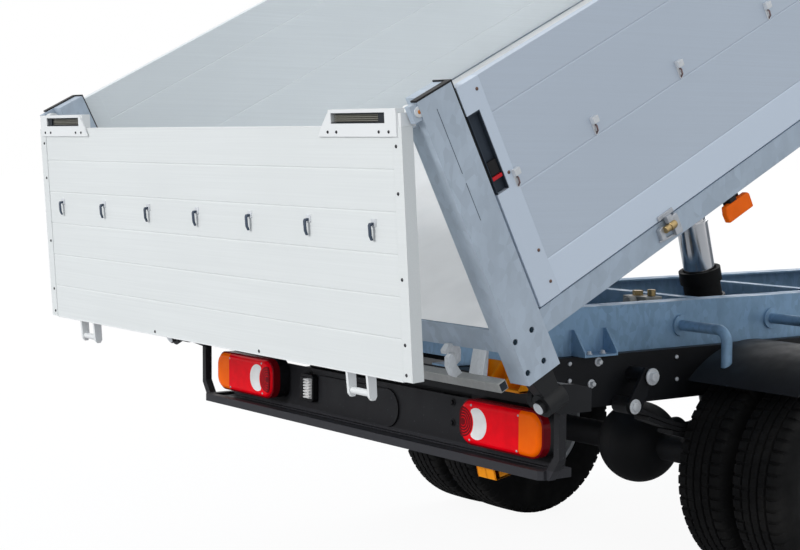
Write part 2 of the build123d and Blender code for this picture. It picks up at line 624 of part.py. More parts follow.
# The windscreen's and the rear window's openings, in front view
def front_prism(points, y, radius):
    with BuildPart() as prism:
        with BuildSketch(cross(ROAD, y[1])) as outline:
            with BuildLine():
                Polyline(*points, close=True)
            make_face()
            fillet(outline.vertices(), radius)
        extrude(outline.sketch, amount=y[1] - y[0])
    return prism.part


SCREEN_HALF = (CAB_HALF - 175, CAB_HALF - 265)  # at its foot, at its top
windscreen_prism = front_prism([(-SCREEN_HALF[0], 1340), (SCREEN_HALF[0], 1340), (SCREEN_HALF[1], 2060), (-SCREEN_HALF[1], 2060)],
                               (-2900, -1760), 70)
rear_window_prism = front_prism([(-560, 1480), (560, 1480), (540, 1960), (-540, 1960)], (-1200, -900), 60)
door_prism = side_prism(DOOR)
door_hole = side_prism(DOOR, DOOR_GAP)
window_prism = side_prism(DOOR_WINDOW)
bonnet_prism = side_prism([(-3200, BONNET_NOSE), (BONNET_REAR, BONNET_NOSE), (BONNET_REAR, 1400), (-3200, 1400)],
                          0, (-BONNET_HALF, BONNET_HALF))
bonnet_hole = side_prism([(-3200, BONNET_NOSE - 6), (BONNET_REAR + 6, BONNET_NOSE - 6), (BONNET_REAR + 6, 1400), (-3200, 1400)],
                         0, (-BONNET_HALF - 6, BONNET_HALF + 6))

GRILLE = (670, 900)
GRILLE_HALF = 430
GRILLE_GAPS = 5
GRILLE_PITCH = 42
LAMP_DEPTH = 34
lamp_form = cab_form(LAMP_DEPTH)
grille_prism = front_prism([(-GRILLE_HALF, GRILLE[0]), (GRILLE_HALF, GRILLE[0]), (GRILLE_HALF, GRILLE[1]), (-GRILLE_HALF, GRILLE[1])],
                           (-3200, -2900), 20)
with BuildPart() as lamp_prism_pair:
    for sign in (-1, 1):
        with BuildSketch(cross(ROAD, -2820)) as outline:
            with BuildLine():
                outer = sign * (CAB_HALF - 135)
                Polyline((sign * 500, 690), (outer, 740), (outer, 925), (sign * 500, 890), close=True)
            make_face()
            fillet(outline.vertices(), 40)
        extrude(outline.sketch, amount=300)
lamp_prism = lamp_prism_pair.part

# Cab shell: hollow, with its floor, firewall, door openings, windows, wheel arches and bonnet opening
with BuildPart() as cab_shell:
    add(outer_form)
    add(inner_form, mode=Mode.SUBTRACT)
    block(ROAD, (-CAB_HALF + 70, CAB_HALF - 70), (-3020, CAB_REAR + 100), (CAB_LOW - 20, CAB_FLOOR[0]), Mode.SUBTRACT)
    block(ROAD, (-CAB_HALF + 70, CAB_HALF - 70), (-3100, -2900), (CAB_LOW - 20, 640), Mode.SUBTRACT)
    add(door_hole, mode=Mode.SUBTRACT)
    block(ROAD, (-CAB_HALF + CAB_WALL + 1, CAB_HALF - CAB_WALL - 1), (-2300, CAB_REAR - CAB_WALL + 5), CAB_FLOOR)
    block(ROAD, (-CAB_HALF + CAB_WALL + 1, CAB_HALF - CAB_WALL - 1), (-2330, -2290), (CAB_FLOOR[0], 1262))
    add(bonnet_hole, mode=Mode.SUBTRACT)
    add(windscreen_prism, mode=Mode.SUBTRACT)
    add(rear_window_prism, mode=Mode.SUBTRACT)
    add(grille_prism, mode=Mode.SUBTRACT)
    add(lamp_prism, mode=Mode.SUBTRACT)
    bar(ROAD, (-1200, FRONT_AXLE_Y, TYRE_R), (1200, FRONT_AXLE_Y, TYRE_R), ARCH_R, Mode.SUBTRACT)
save(cab_shell, "cab_shell")

with BuildPart() as cab_glass:
    add(outer_form)
    add(glass_form, mode=Mode.SUBTRACT)
    add(windscreen_prism + rear_window_prism, mode=Mode.INTERSECT)
save(cab_glass, "cab_glass")

with BuildPart() as bonnet:
    add(outer_form)
    add(cab_form(30), mode=Mode.SUBTRACT)
    add(bonnet_prism, mode=Mode.INTERSECT)
save(bonnet, "bonnet")

for hand, sign in WHEEL_SIDES:
    reach = span(sign, CAB_HALF - 335, CAB_HALF + 165)
    with BuildPart() as door:
        add(outer_form)
        add(inner_form, mode=Mode.SUBTRACT)
        add(side_prism(DOOR, 0, reach), mode=Mode.INTERSECT)
        bar(ROAD, (sign * DOOR_HINGE[0], DOOR_HINGE[1], 300), (sign * DOOR_HINGE[0], DOOR_HINGE[1], 2300), DOOR_REACH,
            Mode.INTERSECT)
        add(window_prism, mode=Mode.SUBTRACT)
    save(door, f"door_{hand}")
    with BuildPart() as door_glass:
        add(outer_form)
        add(glass_form, mode=Mode.SUBTRACT)
        add(side_prism(DOOR_WINDOW, 0, reach), mode=Mode.INTERSECT)
    save(door_glass, f"door_glass_{hand}")
    with BuildPart() as mirror:
        near, far = sign * (CAB_HALF + 25), sign * (CAB_HALF + 200)
        block(ROAD, sorted((near, far)), (-2110, -2040), (1330, 1660))
        fillet(mirror.edges(), 22)
        bar(ROAD, (sign * (CAB_HALF - 75), -2080, 1275), (near + sign * 20, -2080, 1350), 14)
        add(outer_form, mode=Mode.SUBTRACT)
    save(mirror, f"mirror_{hand}")

# Front end: bumper, grille and headlamps
BUMPER_HALF = CAB_HALF - 5
with BuildPart() as front_bumper:
    with BuildSketch(level(ROAD, 330)) as plan:
        with BuildLine():
            Polyline((-BUMPER_HALF, -2700), (-BUMPER_HALF, -2860))
            ThreePointArc((-BUMPER_HALF, -2860), (90 - BUMPER_HALF, -2980), (-NOSE_HALF, -3040))
            ThreePointArc((-NOSE_HALF, -3040), (0, -3100), (NOSE_HALF, -3040))
            ThreePointArc((NOSE_HALF, -3040), (BUMPER_HALF - 90, -2980), (BUMPER_HALF, -2860))
            Polyline((BUMPER_HALF, -2860), (BUMPER_HALF, -2700), (-BUMPER_HALF, -2700))
        make_face()
        offset(amount=-42, mode=Mode.SUBTRACT)
        with Locations((0, -2700)):
            Rectangle(2 * BUMPER_HALF + 40, 2 * 90, mode=Mode.SUBTRACT)
    extrude(plan.sketch, amount=300)
    block(ROAD, (-360, 360), (-3200, -3000), (400, 560), Mode.SUBTRACT)
    for sign in (-1, 1):
        block(ROAD, sorted((sign * 380, sign * 420)), (-3050, RAIL_FRONT), (590, 628))
save(front_bumper, "front_bumper")

with BuildPart() as grille:
    add(outer_form)
    add(lamp_form, mode=Mode.SUBTRACT)
    add(grille_prism, mode=Mode.INTERSECT)
    for index in range(GRILLE_GAPS):
        z = GRILLE[0] + 18 + index * GRILLE_PITCH
        block(ROAD, (-GRILLE_HALF + 14, GRILLE_HALF - 14), (-3200, -2900), (z, z + GRILLE_PITCH - 16), Mode.SUBTRACT)
save(grille, "grille")

with BuildPart() as headlamps:
    add(outer_form)
    add(lamp_form, mode=Mode.SUBTRACT)
    add(lamp_prism, mode=Mode.INTERSECT)
save(headlamps, "headlamps")

# Cab inside: dashboard, steering wheel and a row of seats
with BuildPart() as dashboard:
    section = [(-2288, 1000), (-2288, 1240), (-2180, 1275), (-2060, 1230), (-2040, 1130), (-2110, 1000)]
    plate(ROAD, (135 - CAB_HALF, CAB_HALF - 135), section)
save(dashboard, "dashboard")

WHEEL_X = 430
with BuildPart() as steering_wheel:
    tip = Plane((WHEEL_X, -1930, 1290), x_dir=(1, 0, 0), z_dir=(0, 0.5, 0.866))
    with Locations(Location(tip)):
        Torus(200, 15)
    for turn in (0, 120, 240):
        spoke = tip.from_local_coords((200 * sin(radians(turn)), 200 * cos(radians(turn)), 0))
        hub = tip.from_local_coords((0, 0, -20))
        bar(ROAD, hub, spoke, 9)
    bar(ROAD, tip.from_local_coords((0, 0, 0)), tip.from_local_coords((0, 0, -150)), 34)
save(steering_wheel, "steering_wheel")

SEATS = [(430, 480), (-60, 400), (-500, 400)]  # middle x, width
with BuildPart() as seats:
    for x, width in SEATS:
        half = width / 2
        base = [(-1720, 790), (-1200, 790), (-1200, 1040), (-1720, 1080)]
        plate(ROAD, (x - half, x + half), base)
        back = [(-1310, 1040), (-1190, 1040), (-1120, 1620), (-1130, 1660), (-1190, 1660), (-1210, 1620)]
        plate(ROAD, (x - half, x + half), back)
        block(ROAD, (x - 120, x + 120), (-1200, -1118), (1680, 1860))
        block(ROAD, (x - 40, x + 40), (-1170, -1150), (1640, 1690))
save(seats, "seats")

# Tanks and gear hung on the rails
with BuildPart() as fuel_tank:
    block(ROAD, (470, 880), (-700, 150), (330, 610))
    fillet(fuel_tank.edges().filter_by(Axis.Y), 50)
    for y in (-550, 0):
        block(ROAD, (RAIL_X, 500), (y - 25, y + 25), (500, 640))
save(fuel_tank, "fuel_tank")

with BuildPart() as hydraulic_unit:
    block(ROAD, (-860, -470), (-700, -250), (420, 690))
    fillet(hydraulic_unit.edges().filter_by(Axis.Z), 20)
    for y in (-600, -350):
        block(ROAD, (-480, -RAIL_X), (y - 25, y + 25), (560, 660))
save(hydraulic_unit, "hydraulic_unit")

# Mudguards over the rear wheels, short behind
GUARD_REAR_Z = 636
GUARD_FRONT_Z = 440
with BuildPart() as mudguards:
    for sign in (-1, 1):
        near, far = span(sign, *GUARD_X)
        with BuildSketch(side(ROAD, near)) as arch:
            with Locations((REAR_AXLE_Y, TYRE_R)):
                Circle(GUARD_R + GUARD_WALL)
                Circle(GUARD_R, mode=Mode.SUBTRACT)
            with Locations((REAR_AXLE_Y + 250, GUARD_REAR_Z - 400)):
                Rectangle(500, 800, mode=Mode.SUBTRACT)
            with Locations((REAR_AXLE_Y - 250, GUARD_FRONT_Z - 400)):
                Rectangle(500, 800, mode=Mode.SUBTRACT)
        extrude(arch.sketch, amount=far - near)
save(mudguards, "mudguards")

# Bed floor: plate on bearers, side rails and cross members
FLOOR_HALF = BED_HALF - 4
PLATE_HALF = BED_HALF - 36
PLATE_NOTCH = 5
BEARER_X = (360, 410)
CROSS_PITCH = 480
with BuildPart() as bed_floor:
    rail_low = FLOOR_TOP - RAIL_DEPTH
    block(BED, (-FLOOR_HALF, FLOOR_HALF), (BED_FRONT, BEAM_REAR), (FLOOR_TOP - FLOOR_PLATE, FLOOR_TOP))
    for sign in (-1, 1):
        block(BED, sorted((sign * (FLOOR_HALF - 50), sign * FLOOR_HALF)), (BED_FRONT, BEAM_REAR), (rail_low, FLOOR_TOP))
        block(BED, sorted((sign * BEARER_X[0], sign * BEARER_X[1])), (BED_FRONT + 60, BEAM_REAR - 60), (BEARER_BOTTOM, FLOOR_TOP))
    for y in (BED_FRONT, BEAM_REAR - 50):
        block(BED, (-FLOOR_HALF, FLOOR_HALF), (y, y + 50), (rail_low, FLOOR_TOP))
    for index in range(1, 7):
        y = BED_FRONT + index * CROSS_PITCH
        block(BED, (-FLOOR_HALF, FLOOR_HALF), (y, y + 40), (rail_low + 6, FLOOR_TOP))
    block(BED, (-PLATE_HALF, PLATE_HALF), (BED_FRONT + 44, BEAM_REAR - 4), (FLOOR_TOP, FLOOR_TOP + FLOOR_RISE))
    for sign in (-1, 1):
        notch = span(sign, BED_HALF - POST_W - PLATE_NOTCH, BED_HALF)
        block(BED, notch, (POST_FRONT - PLATE_NOTCH, BEAM_REAR), (FLOOR_TOP, FLOOR_TOP + 10), Mode.SUBTRACT)
        pocket = span(sign, BED_HALF - POST_W, BED_HALF + 10)
        block(BED, pocket, (POST_FRONT, POST_REAR + 10), (rail_low - 10, FLOOR_TOP + 10), Mode.SUBTRACT)
save(bed_floor, "bed_floor")

# Headboard: planks between two posts, with a guard rack above
RACK_TOP = 1390
with BuildPart() as headboard:
    seams = [BOARD_BOTTOM + seam for seam in PLANK_SEAMS]
    plate(BED, (-BED_HALF, BED_HALF), plank_outline(BED_FRONT, BED_FRONT + 30, FLOOR_TOP, FLOOR_TOP + 615, seams))
    for x in (-960, -320, 320, 960):
        block(BED, (x - 25, x + 25), (BED_FRONT, BED_FRONT + 40), (FLOOR_TOP, RACK_TOP))
    for z in (1040, 1200, RACK_TOP - 40):
        block(BED, (-985, 985), (BED_FRONT, BED_FRONT + 40), (z, z + 40))
save(headboard, "headboard")

# Rear posts, with the tailgate's pivots and the bolt holes of their feet
POST_HOLES = [(64, 248), (4, 249), (63, 157), (4, 158)]
HOLE_R = 8
with BuildPart() as rear_posts:
    for sign in (-1, 1):
        outline = [(POST_FRONT, POST_BOTTOM), (POST_REAR, POST_BOTTOM), (POST_REAR, POST_TOP), (POST_FRONT, POST_TOP)]
        plate(BED, span(sign, BED_HALF - POST_W, BED_HALF), outline)
        notch = span(sign, BED_HALF - POST_W - 1, BED_HALF - 26)
        block(BED, notch, (50, POST_REAR + 1), (850, POST_TOP + 1), Mode.SUBTRACT)
        block(BED, span(sign, BED_HALF - 24, BED_HALF - 4), (POST_REAR, GATE_S + 20), (GATE_H - 22, GATE_H + 22))
        bar(BED, (sign * (BED_HALF - 50), GATE_S, GATE_H), (sign * (BED_HALF - 2), GATE_S, GATE_H), GATE_PIN_R)
        for y, z in POST_HOLES:
            bar(BED, (sign * (BED_HALF - 3), y, z), (sign * (BED_HALF + 2), y, z), HOLE_R, Mode.SUBTRACT)
save(rear_posts, "rear_posts")

# Hinge lugs under the rear posts: a round socket along the bed, bored for the trunnion
LUG_HALF = 20
SOCKET_R = 33
CAP_R = 20
with BuildPart() as hinge_lugs:
    for sign in (-1, 1):
        x = sign * LUG_X
        outline = [(HINGE_S - 22, HINGE_H), (HINGE_S + 26, HINGE_H), (44, POST_BOTTOM), (-34, POST_BOTTOM)]
        plate(BED, (x - LUG_HALF, x + LUG_HALF), outline)
        bar(BED, (x, HINGE_S - 30, HINGE_H), (x, HINGE_S + 38, HINGE_H), SOCKET_R)
        bar(BED, (x, HINGE_S + 38, HINGE_H), (x, HINGE_S + 50, HINGE_H), CAP_R)
        bar(BED, (x - sign * 40, HINGE_S, HINGE_H), (x + sign * 2, HINGE_S, HINGE_H), TRUNNION_R + 0.5, Mode.SUBTRACT)
save(hinge_lugs, "hinge_lugs")

# Lock shaft: a square tube on hangers behind the rear beam, with a forked claw on each side of the middle
SHAFT_HALF = GATE_HALF - 185
SHAFT_Y = (110, 142)
SHAFT_Z = (118, 148)
HANGER_X = GATE_HALF - 360
CLAW_X = (GATE_HALF - 442, GATE_HALF - 396)
CLAW_PLATE = 10
CLAW = [(112, 146), (140, 146), (134, 184), (126, 230), (116, 230), (114, 204), (104, 194), (92, 194), (86, 206),
        (86, 226), (80, 226), (78, 186), (90, 174), (106, 170)]
with BuildPart() as gate_lock:
    block(BED, (-SHAFT_HALF, SHAFT_HALF), SHAFT_Y, SHAFT_Z)
    block(BED, (-SHAFT_HALF - 1, SHAFT_HALF + 1), (SHAFT_Y[0] + 5, SHAFT_Y[1] - 5), (SHAFT_Z[0] + 5, SHAFT_Z[1] - 5),
          Mode.SUBTRACT)
    for sign in (-1, 1):
        hanger = [(BEAM_REAR - 30, FLOOR_TOP - RAIL_DEPTH), (BEAM_REAR - 30, 196), (SHAFT_Y[0], SHAFT_Z[0]),
                  (SHAFT_Y[0] + 4, SHAFT_Z[0]), (SHAFT_Y[0] + 4, SHAFT_Z[1] + 14), (BEAM_REAR, FLOOR_TOP - RAIL_DEPTH)]
        plate(BED, span(sign, HANGER_X, HANGER_X + 60), hanger)
        for x in CLAW_X:
            plate(BED, span(sign, x, x + CLAW_PLATE), CLAW)
save(gate_lock, "gate_lock")

with BuildPart() as side_markers:
    for sign in (-1, 1):
        for y in (-798, -2300):
            block(BED, span(sign, FLOOR_HALF - 22, FLOOR_HALF - 4), (y - 50, y + 50), (150, 196))
            block(BED, span(sign, FLOOR_HALF - 30, FLOOR_HALF - 22), (y - 30, y + 30), (150, 215))
save(side_markers, "side_markers")

# Side boards: grooved planks with a thicker end section that holds the latch recess
BOARD_FRONT = BED_FRONT + 40 + BOARD_GAP
BOARD_TOP = BOARD_BOTTOM + BOARD_H
BOARD_HINGE = (BED_HALF + 14, 262)
BOARD_END = 74
END_RISE = 2
LATCH_Y = (-88, BOARD_REAR)
LATCH_Z = (605, 820)
LATCH_DEPTH = 20
HINGE_SPOTS = [-530, -1500, -2450, BED_FRONT + 250]
for hand, sign in WHEEL_SIDES:
    with BuildPart() as side_board:
        with BuildSketch(cross(BED, BOARD_REAR)) as section:
            with BuildLine():
                seams = [BOARD_BOTTOM + seam for seam in PLANK_SEAMS]
                outline = plank_outline(sign * (BED_HALF - BOARD_W), sign * BED_HALF, BOARD_BOTTOM, BOARD_TOP, seams)
                Polyline(*outline, close=True)
            make_face()
        extrude(section.sketch, amount=BOARD_REAR - BOARD_FRONT)
        for y in (BOARD_REAR, BOARD_FRONT + BOARD_END):
            block(BED, span(sign, BED_HALF - BOARD_W - END_RISE, BED_HALF + END_RISE), (y - BOARD_END, y),
                  (BOARD_BOTTOM, BOARD_TOP))
        block(BED, span(sign, BED_HALF + END_RISE - LATCH_DEPTH, BED_HALF + END_RISE + 1),
              (LATCH_Y[0], LATCH_Y[1] + 1), LATCH_Z, Mode.SUBTRACT)
    save(side_board, f"side_board_{hand}")
    with BuildPart() as board_hinges:
        for y in HINGE_SPOTS:
            block(BED, span(sign, BED_HALF, BED_HALF + 6), (y - 30, y + 30), (BOARD_BOTTOM, BOARD_BOTTOM + 70))
            block(BED, span(sign, BED_HALF, BOARD_HINGE[0]), (y - 24, y + 24), (BOARD_HINGE[1] + 4, BOARD_BOTTOM + 12))
            bar(BED, (sign * BOARD_HINGE[0], y - 24, BOARD_HINGE[1]), (sign * BOARD_HINGE[0], y + 24, BOARD_HINGE[1]), 10)
    save(board_hinges, f"board_hinges_{hand}")

# Tailgate: grooved planks between two raised edge strips
GATE_BOTTOM = -GATE_DROP - GATE_HIGH
GATE_OUTER = GATE_FACE + GATE_THICK
STRIP_RISE = 2
with BuildPart() as tailgate:
    seams = [GATE_BOTTOM + GATE_HIGH * row / GATE_PLANKS for row in range(1, GATE_PLANKS)]
    plate(GATE, (-GATE_HALF, GATE_HALF), plank_outline(GATE_FACE, GATE_OUTER, GATE_BOTTOM, -GATE_DROP, seams))
    for sign in (-1, 1):
        strip = span(sign, GATE_HALF - GATE_STRIP, GATE_HALF)
        block(GATE, strip, (GATE_FACE, GATE_OUTER + STRIP_RISE), (GATE_BOTTOM, -GATE_DROP))
save(tailgate, "tailgate")

# Tailgate fittings: corner pieces with a deep window and the pivot bosses, and the lower loops
CORNER_END = GATE_HALF - 15
CORNER = [(CORNER_END, 11), (CORNER_END - 287, 11), (CORNER_END - 325, -31), (CORNER_END - 342, -57),
          (CORNER_END, -57)]  # across, up
CORNER_RISE = 6
CORNER_WINDOW = ((CORNER_END - 280, CORNER_END - 48), (-24, 2))
WINDOW_DEPTH = 18
BOSS_X = (GATE_HALF - 27, GATE_HALF - 3)
LOOP_X = GATE_HALF - 247
LOOP_HALF = 50
LOOP_PLATE = 10
LOOP_PIN = (20, GATE_BOTTOM - 52)
LOOP_ARM = [(8, GATE_BOTTOM), (34, GATE_BOTTOM), (31, GATE_BOTTOM - 60), (24, GATE_BOTTOM - 69), (14, GATE_BOTTOM - 69),
            (8, GATE_BOTTOM - 60)]
with BuildPart() as gate_fittings:
    for sign in (-1, 1):
        outline = [(sign * across, up) for across, up in CORNER]
        with BuildSketch(cross(GATE, GATE_OUTER + CORNER_RISE)) as corner:
            with BuildLine():
                Polyline(*outline, close=True)
            make_face()
        extrude(corner.sketch, amount=CORNER_RISE - STRIP_RISE)
        with BuildSketch(cross(GATE, GATE_OUTER + CORNER_RISE)) as plate_back:
            with BuildLine():
                inner = CORNER_END - 310
                strip_edge = GATE_HALF - GATE_STRIP - 1
                Polyline(*[(across * sign, up) for across, up in CORNER[:2]], (sign * inner, -14), (sign * inner, -57),
                         (sign * strip_edge, -57), (sign * strip_edge, -GATE_DROP), (sign * CORNER_END, -GATE_DROP),
                         close=True)
            make_face()
        extrude(plate_back.sketch, amount=CORNER_RISE)
        block(GATE, span(sign, CORNER_END - 300, CORNER_END), (GATE_FACE + 6, GATE_OUTER + 1), (-GATE_DROP, CORNER[0][1]))
        window_x, window_z = CORNER_WINDOW
        front = GATE_OUTER + CORNER_RISE
        block(GATE, span(sign, *window_x), (front - WINDOW_DEPTH, front + 1), window_z, Mode.SUBTRACT)
        block(GATE, span(sign, *BOSS_X), (-8, GATE_OUTER), (-GATE_DROP, 0))
        bar(GATE, (sign * BOSS_X[0], 0, 0), (sign * BOSS_X[1], 0, 0), 18)
        bar(GATE, (sign * (BOSS_X[0] - 1), 0, 0), (sign * (BOSS_X[1] + 1), 0, 0), GATE_PIN_R + 0.05, Mode.SUBTRACT)
        for x in (LOOP_X - LOOP_HALF, LOOP_X + LOOP_HALF - LOOP_PLATE):
            plate(GATE, span(sign, x, x + LOOP_PLATE), LOOP_ARM)
        near, far = span(sign, LOOP_X - LOOP_HALF, LOOP_X + LOOP_HALF)
        bar(GATE, (near, *LOOP_PIN), (far, *LOOP_PIN), 9)
save(gate_fittings, "gate_fittings")

# Ram: swings on its cradle; five stages slide along its line
base_dy = RAM_Y - HINGE_Y
base_dz = RAM_Z - HINGE_Z
ram_radius = hypot(base_dy, base_dz)
ball_rise = RAM_BALL_H - HINGE_H
ball_s = HINGE_S - sqrt(ram_radius ** 2 - ball_rise ** 2)
ball = BED.from_local_coords((0, ball_s, RAM_BALL_H))
ram_base = Vector(0, RAM_Y, RAM_Z)
ram_line = (ball - ram_base).normalized()
ram_length = (ball - ram_base).length
RAM = Plane(ram_base, x_dir=(1, 0, 0), z_dir=ram_line)
base_angle = degrees(atan2(base_dz, -base_dy))
ball_angle = degrees(atan2(ball_rise, HINGE_S - ball_s))
closed_length = 2 * ram_radius * sin(radians((ball_angle - base_angle) / 2))
MM_PER_DEGREE = 27.0
FIRST_SHARE = 2.05
print("ram", ram_length, closed_length, "line", ram_line, "ball", ball)
print("gate pivot", GATE.origin)
BARREL_LOW = -104
BARREL_TOP = 285
STAGES = [  # outer radius, inner radius, head radius, head height, low end, top end when closed
    (66, 60, 74, 46, -96, BARREL_TOP + 46),
    (55, 50, 58, 4, -90, BARREL_TOP + 51),
    (49, 44, 52, 4, -84, BARREL_TOP + 56),
    (43, 38, 46, 4, -78, BARREL_TOP + 61),
    (37, 0, 37, 4, -72, BARREL_TOP + 64),
]
with BuildPart() as ram_barrel:
    bar(RAM, (0, 0, BARREL_LOW), (0, 0, BARREL_TOP), 75)
    bar(RAM, (0, 0, BARREL_LOW + 6), (0, 0, BARREL_TOP + 1), 67, Mode.SUBTRACT)
    for sign in (-1, 1):
        bar(RAM, (sign * 70, 0, 0), (sign * 118, 0, 0), 22)
save(ram_barrel, "ram_barrel")
follow = (MM_PER_DEGREE - FIRST_SHARE) / (len(STAGES) - 1)
for index, (outer, inner, head, head_h, low, top) in enumerate(STAGES):
    shift = TILT * (FIRST_SHARE + follow * index)
    with BuildPart() as stage:
        bar(RAM, (0, 0, low + shift), (0, 0, top + shift), outer)
        bar(RAM, (0, 0, top + shift - head_h), (0, 0, top + shift), head)
        if inner:
            bar(RAM, (0, 0, low + shift - 1), (0, 0, top + shift + 1), inner, Mode.SUBTRACT)
        else:
            with Locations(RAM.from_local_coords((0, 0, ram_length))):
                Sphere(20)
            bar(RAM, (0, 0, top + shift), (0, 0, ram_length), 14)
    save(stage, f"ram_stage_{index + 1}")

# Ram cradle: two cheeks on the rails' inside with the trunnion bores
with BuildPart() as ram_cradle:
    for sign in (-1, 1):
        low, high = sorted((sign * 100, sign * 116))
        cheek = [(RAM_Y - 70, RAM_Z - 50), (RAM_Y + 70, RAM_Z - 50), (RAM_Y + 90, 700), (RAM_Y - 90, 700)]
        plate(ROAD, (low, high), cheek)
        bar(ROAD, (sign * 90, RAM_Y, RAM_Z), (sign * 126, RAM_Y, RAM_Z), 22.5, Mode.SUBTRACT)
    for sign in (-1, 1):
        low, high = sorted((sign * 116, sign * (RAIL_X - RAIL_WALL)))
        block(ROAD, (low, high), (RAM_Y - 60, RAM_Y + 60), (640, 690))
save(ram_cradle, "ram_cradle")
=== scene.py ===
import json
import math

import bmesh
import bpy
from mathutils import Matrix, Vector
from mathutils.bvhtree import BVHTree


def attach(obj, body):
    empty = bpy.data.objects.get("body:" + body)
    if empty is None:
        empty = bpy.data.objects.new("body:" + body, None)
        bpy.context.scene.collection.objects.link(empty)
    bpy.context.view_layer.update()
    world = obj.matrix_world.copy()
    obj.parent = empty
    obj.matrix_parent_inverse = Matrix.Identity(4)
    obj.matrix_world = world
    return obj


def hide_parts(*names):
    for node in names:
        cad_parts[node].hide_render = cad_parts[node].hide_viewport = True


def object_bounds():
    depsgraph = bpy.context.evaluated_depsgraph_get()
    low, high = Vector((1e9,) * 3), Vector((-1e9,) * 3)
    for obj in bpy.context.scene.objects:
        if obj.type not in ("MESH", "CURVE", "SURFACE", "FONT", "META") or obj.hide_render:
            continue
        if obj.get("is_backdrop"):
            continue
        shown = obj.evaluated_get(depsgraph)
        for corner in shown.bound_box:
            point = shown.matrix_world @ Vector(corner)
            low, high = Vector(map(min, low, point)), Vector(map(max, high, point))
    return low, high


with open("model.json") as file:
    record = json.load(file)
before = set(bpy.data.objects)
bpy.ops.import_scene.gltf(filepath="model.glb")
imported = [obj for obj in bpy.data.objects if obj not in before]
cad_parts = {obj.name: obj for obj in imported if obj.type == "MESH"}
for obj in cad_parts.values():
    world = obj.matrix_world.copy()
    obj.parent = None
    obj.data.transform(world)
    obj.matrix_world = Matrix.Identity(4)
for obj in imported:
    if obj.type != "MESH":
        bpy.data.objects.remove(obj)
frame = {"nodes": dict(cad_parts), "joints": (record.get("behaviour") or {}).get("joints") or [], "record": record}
cad_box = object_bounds()
joints = {joint["name"]: joint for joint in frame["joints"]}


# Frames of the raised bed and of the hanging tailgate: X across, Y rearwards along the floor, Z off it
def leaning(origin, degrees):
    return Matrix.Translation(origin) @ Matrix.Rotation(-math.radians(degrees), 4, "X")


TILT = 26.9
GATE_LEAN = 3.6
HINGE_ON_BED = (0, -0.013, 0.026)
BED = leaning(joints["bed_tip"]["pos_m"], TILT) @ Matrix.Translation(HINGE_ON_BED).inverted()
GATE = leaning(joints["tailgate_swing"]["pos_m"], GATE_LEAN)
ROAD = Matrix.Identity(4)
MM = 0.001
SMOOTH = math.radians(35)
HANDS = (("left", 1), ("right", -1))
SIDES = (-1, 1)
EDGE_BLEND = 0.0005  # half width in which one colour turns into another at a level, in metres


# Links a socket to another, or sets its value
def feed(socket, value):
    if isinstance(value, bpy.types.NodeSocket):
        socket.id_data.links.new(value, socket)
    else:
        socket.default_value = value


# Feeds a node's inputs by name, with underscores for spaces
def feed_node(node, **inputs):
    for key, value in inputs.items():
        feed(node.inputs[key.replace("_", " ")], value)
    return node


def add_node(tree, kind, **inputs):
    return feed_node(tree.nodes.new(kind), **inputs)


# A material on the principled shader, with short ways to add noise, colour, roughness and bump
class Shader:
    def __init__(self, name, color, metallic, roughness, **more):
        self.name = name
        self.material = bpy.data.materials.new(name)
        self.material.use_nodes = True
        self.base = self.material.node_tree.nodes["Principled BSDF"]
        feed_node(self.base, Base_Color=(*color, 1), Metallic=metallic, Roughness=roughness, **more)
        self.bent = None
        self.place = self.node("ShaderNodeTexCoord").outputs["Object"]

    def node(self, kind, **inputs):
        return add_node(self.material.node_tree, kind, **inputs)

    def stretched(self, scale, tilt=0.0):
        turn = (math.radians(tilt), 0, 0)
        made = self.node("ShaderNodeMapping", Vector=self.place, Rotation=turn, Scale=scale)
        return made.outputs["Vector"]

    def noise(self, scale, detail=4.0, vector=None):
        made = self.node("ShaderNodeTexNoise", Scale=scale, Detail=detail, Vector=vector or self.place)
        return made.outputs["Fac"]

    def ramp(self, value, low, high, start=0.35, end=0.65):
        made = self.node("ShaderNodeMapRange", Value=value, From_Min=start, From_Max=end)
        made.inputs["To Min"].default_value = low
        made.inputs["To Max"].default_value = high
        return made.outputs["Result"]

    def mix(self, value, *colors):
        made = self.node("ShaderNodeMix", Factor=value)
        made.data_type = "RGBA"
        for socket, color in zip(made.inputs[6:8], colors):
            feed(socket, color if isinstance(color, bpy.types.NodeSocket) else (*color, 1))
        return made.outputs[2]

    def paint(self, socket):
        feed(self.base.inputs["Base Color"], socket)

    def rough(self, socket):
        feed(self.base.inputs["Roughness"], socket)

    def bump(self, value, distance, strength):
        made = self.node("ShaderNodeBump", Strength=strength, Distance=distance, Height=value)
        if self.bent:
            feed(made.inputs["Normal"], self.bent)
        self.bend(made)

    # Rounded edges in the shading
    def soften(self, radius):
        made = self.node("ShaderNodeBevel", Radius=radius)
        made.samples = 4
        self.bend(made)

    def bend(self, made):
        self.bent = made.outputs["Normal"]
        feed(self.base.inputs["Normal"], self.bent)

    # One where the distance from the bed's origin, along a way of the bed, is past the limit in metres
    def beyond(self, way, limit):
        way = (BED.to_3x3() @ Vector(way)).normalized()
        reach = self.node("ShaderNodeVectorMath", Vector=self.place)
        reach.operation = "DOT_PRODUCT"
        reach.inputs[1].default_value = way
        level = BED.translation.dot(way) + limit
        return self.ramp(reach.outputs["Value"], 0, 1, level - EDGE_BLEND, level + EDGE_BLEND)


def shade(color, factor):
    return tuple(min(1.0, part * factor) for part in color)


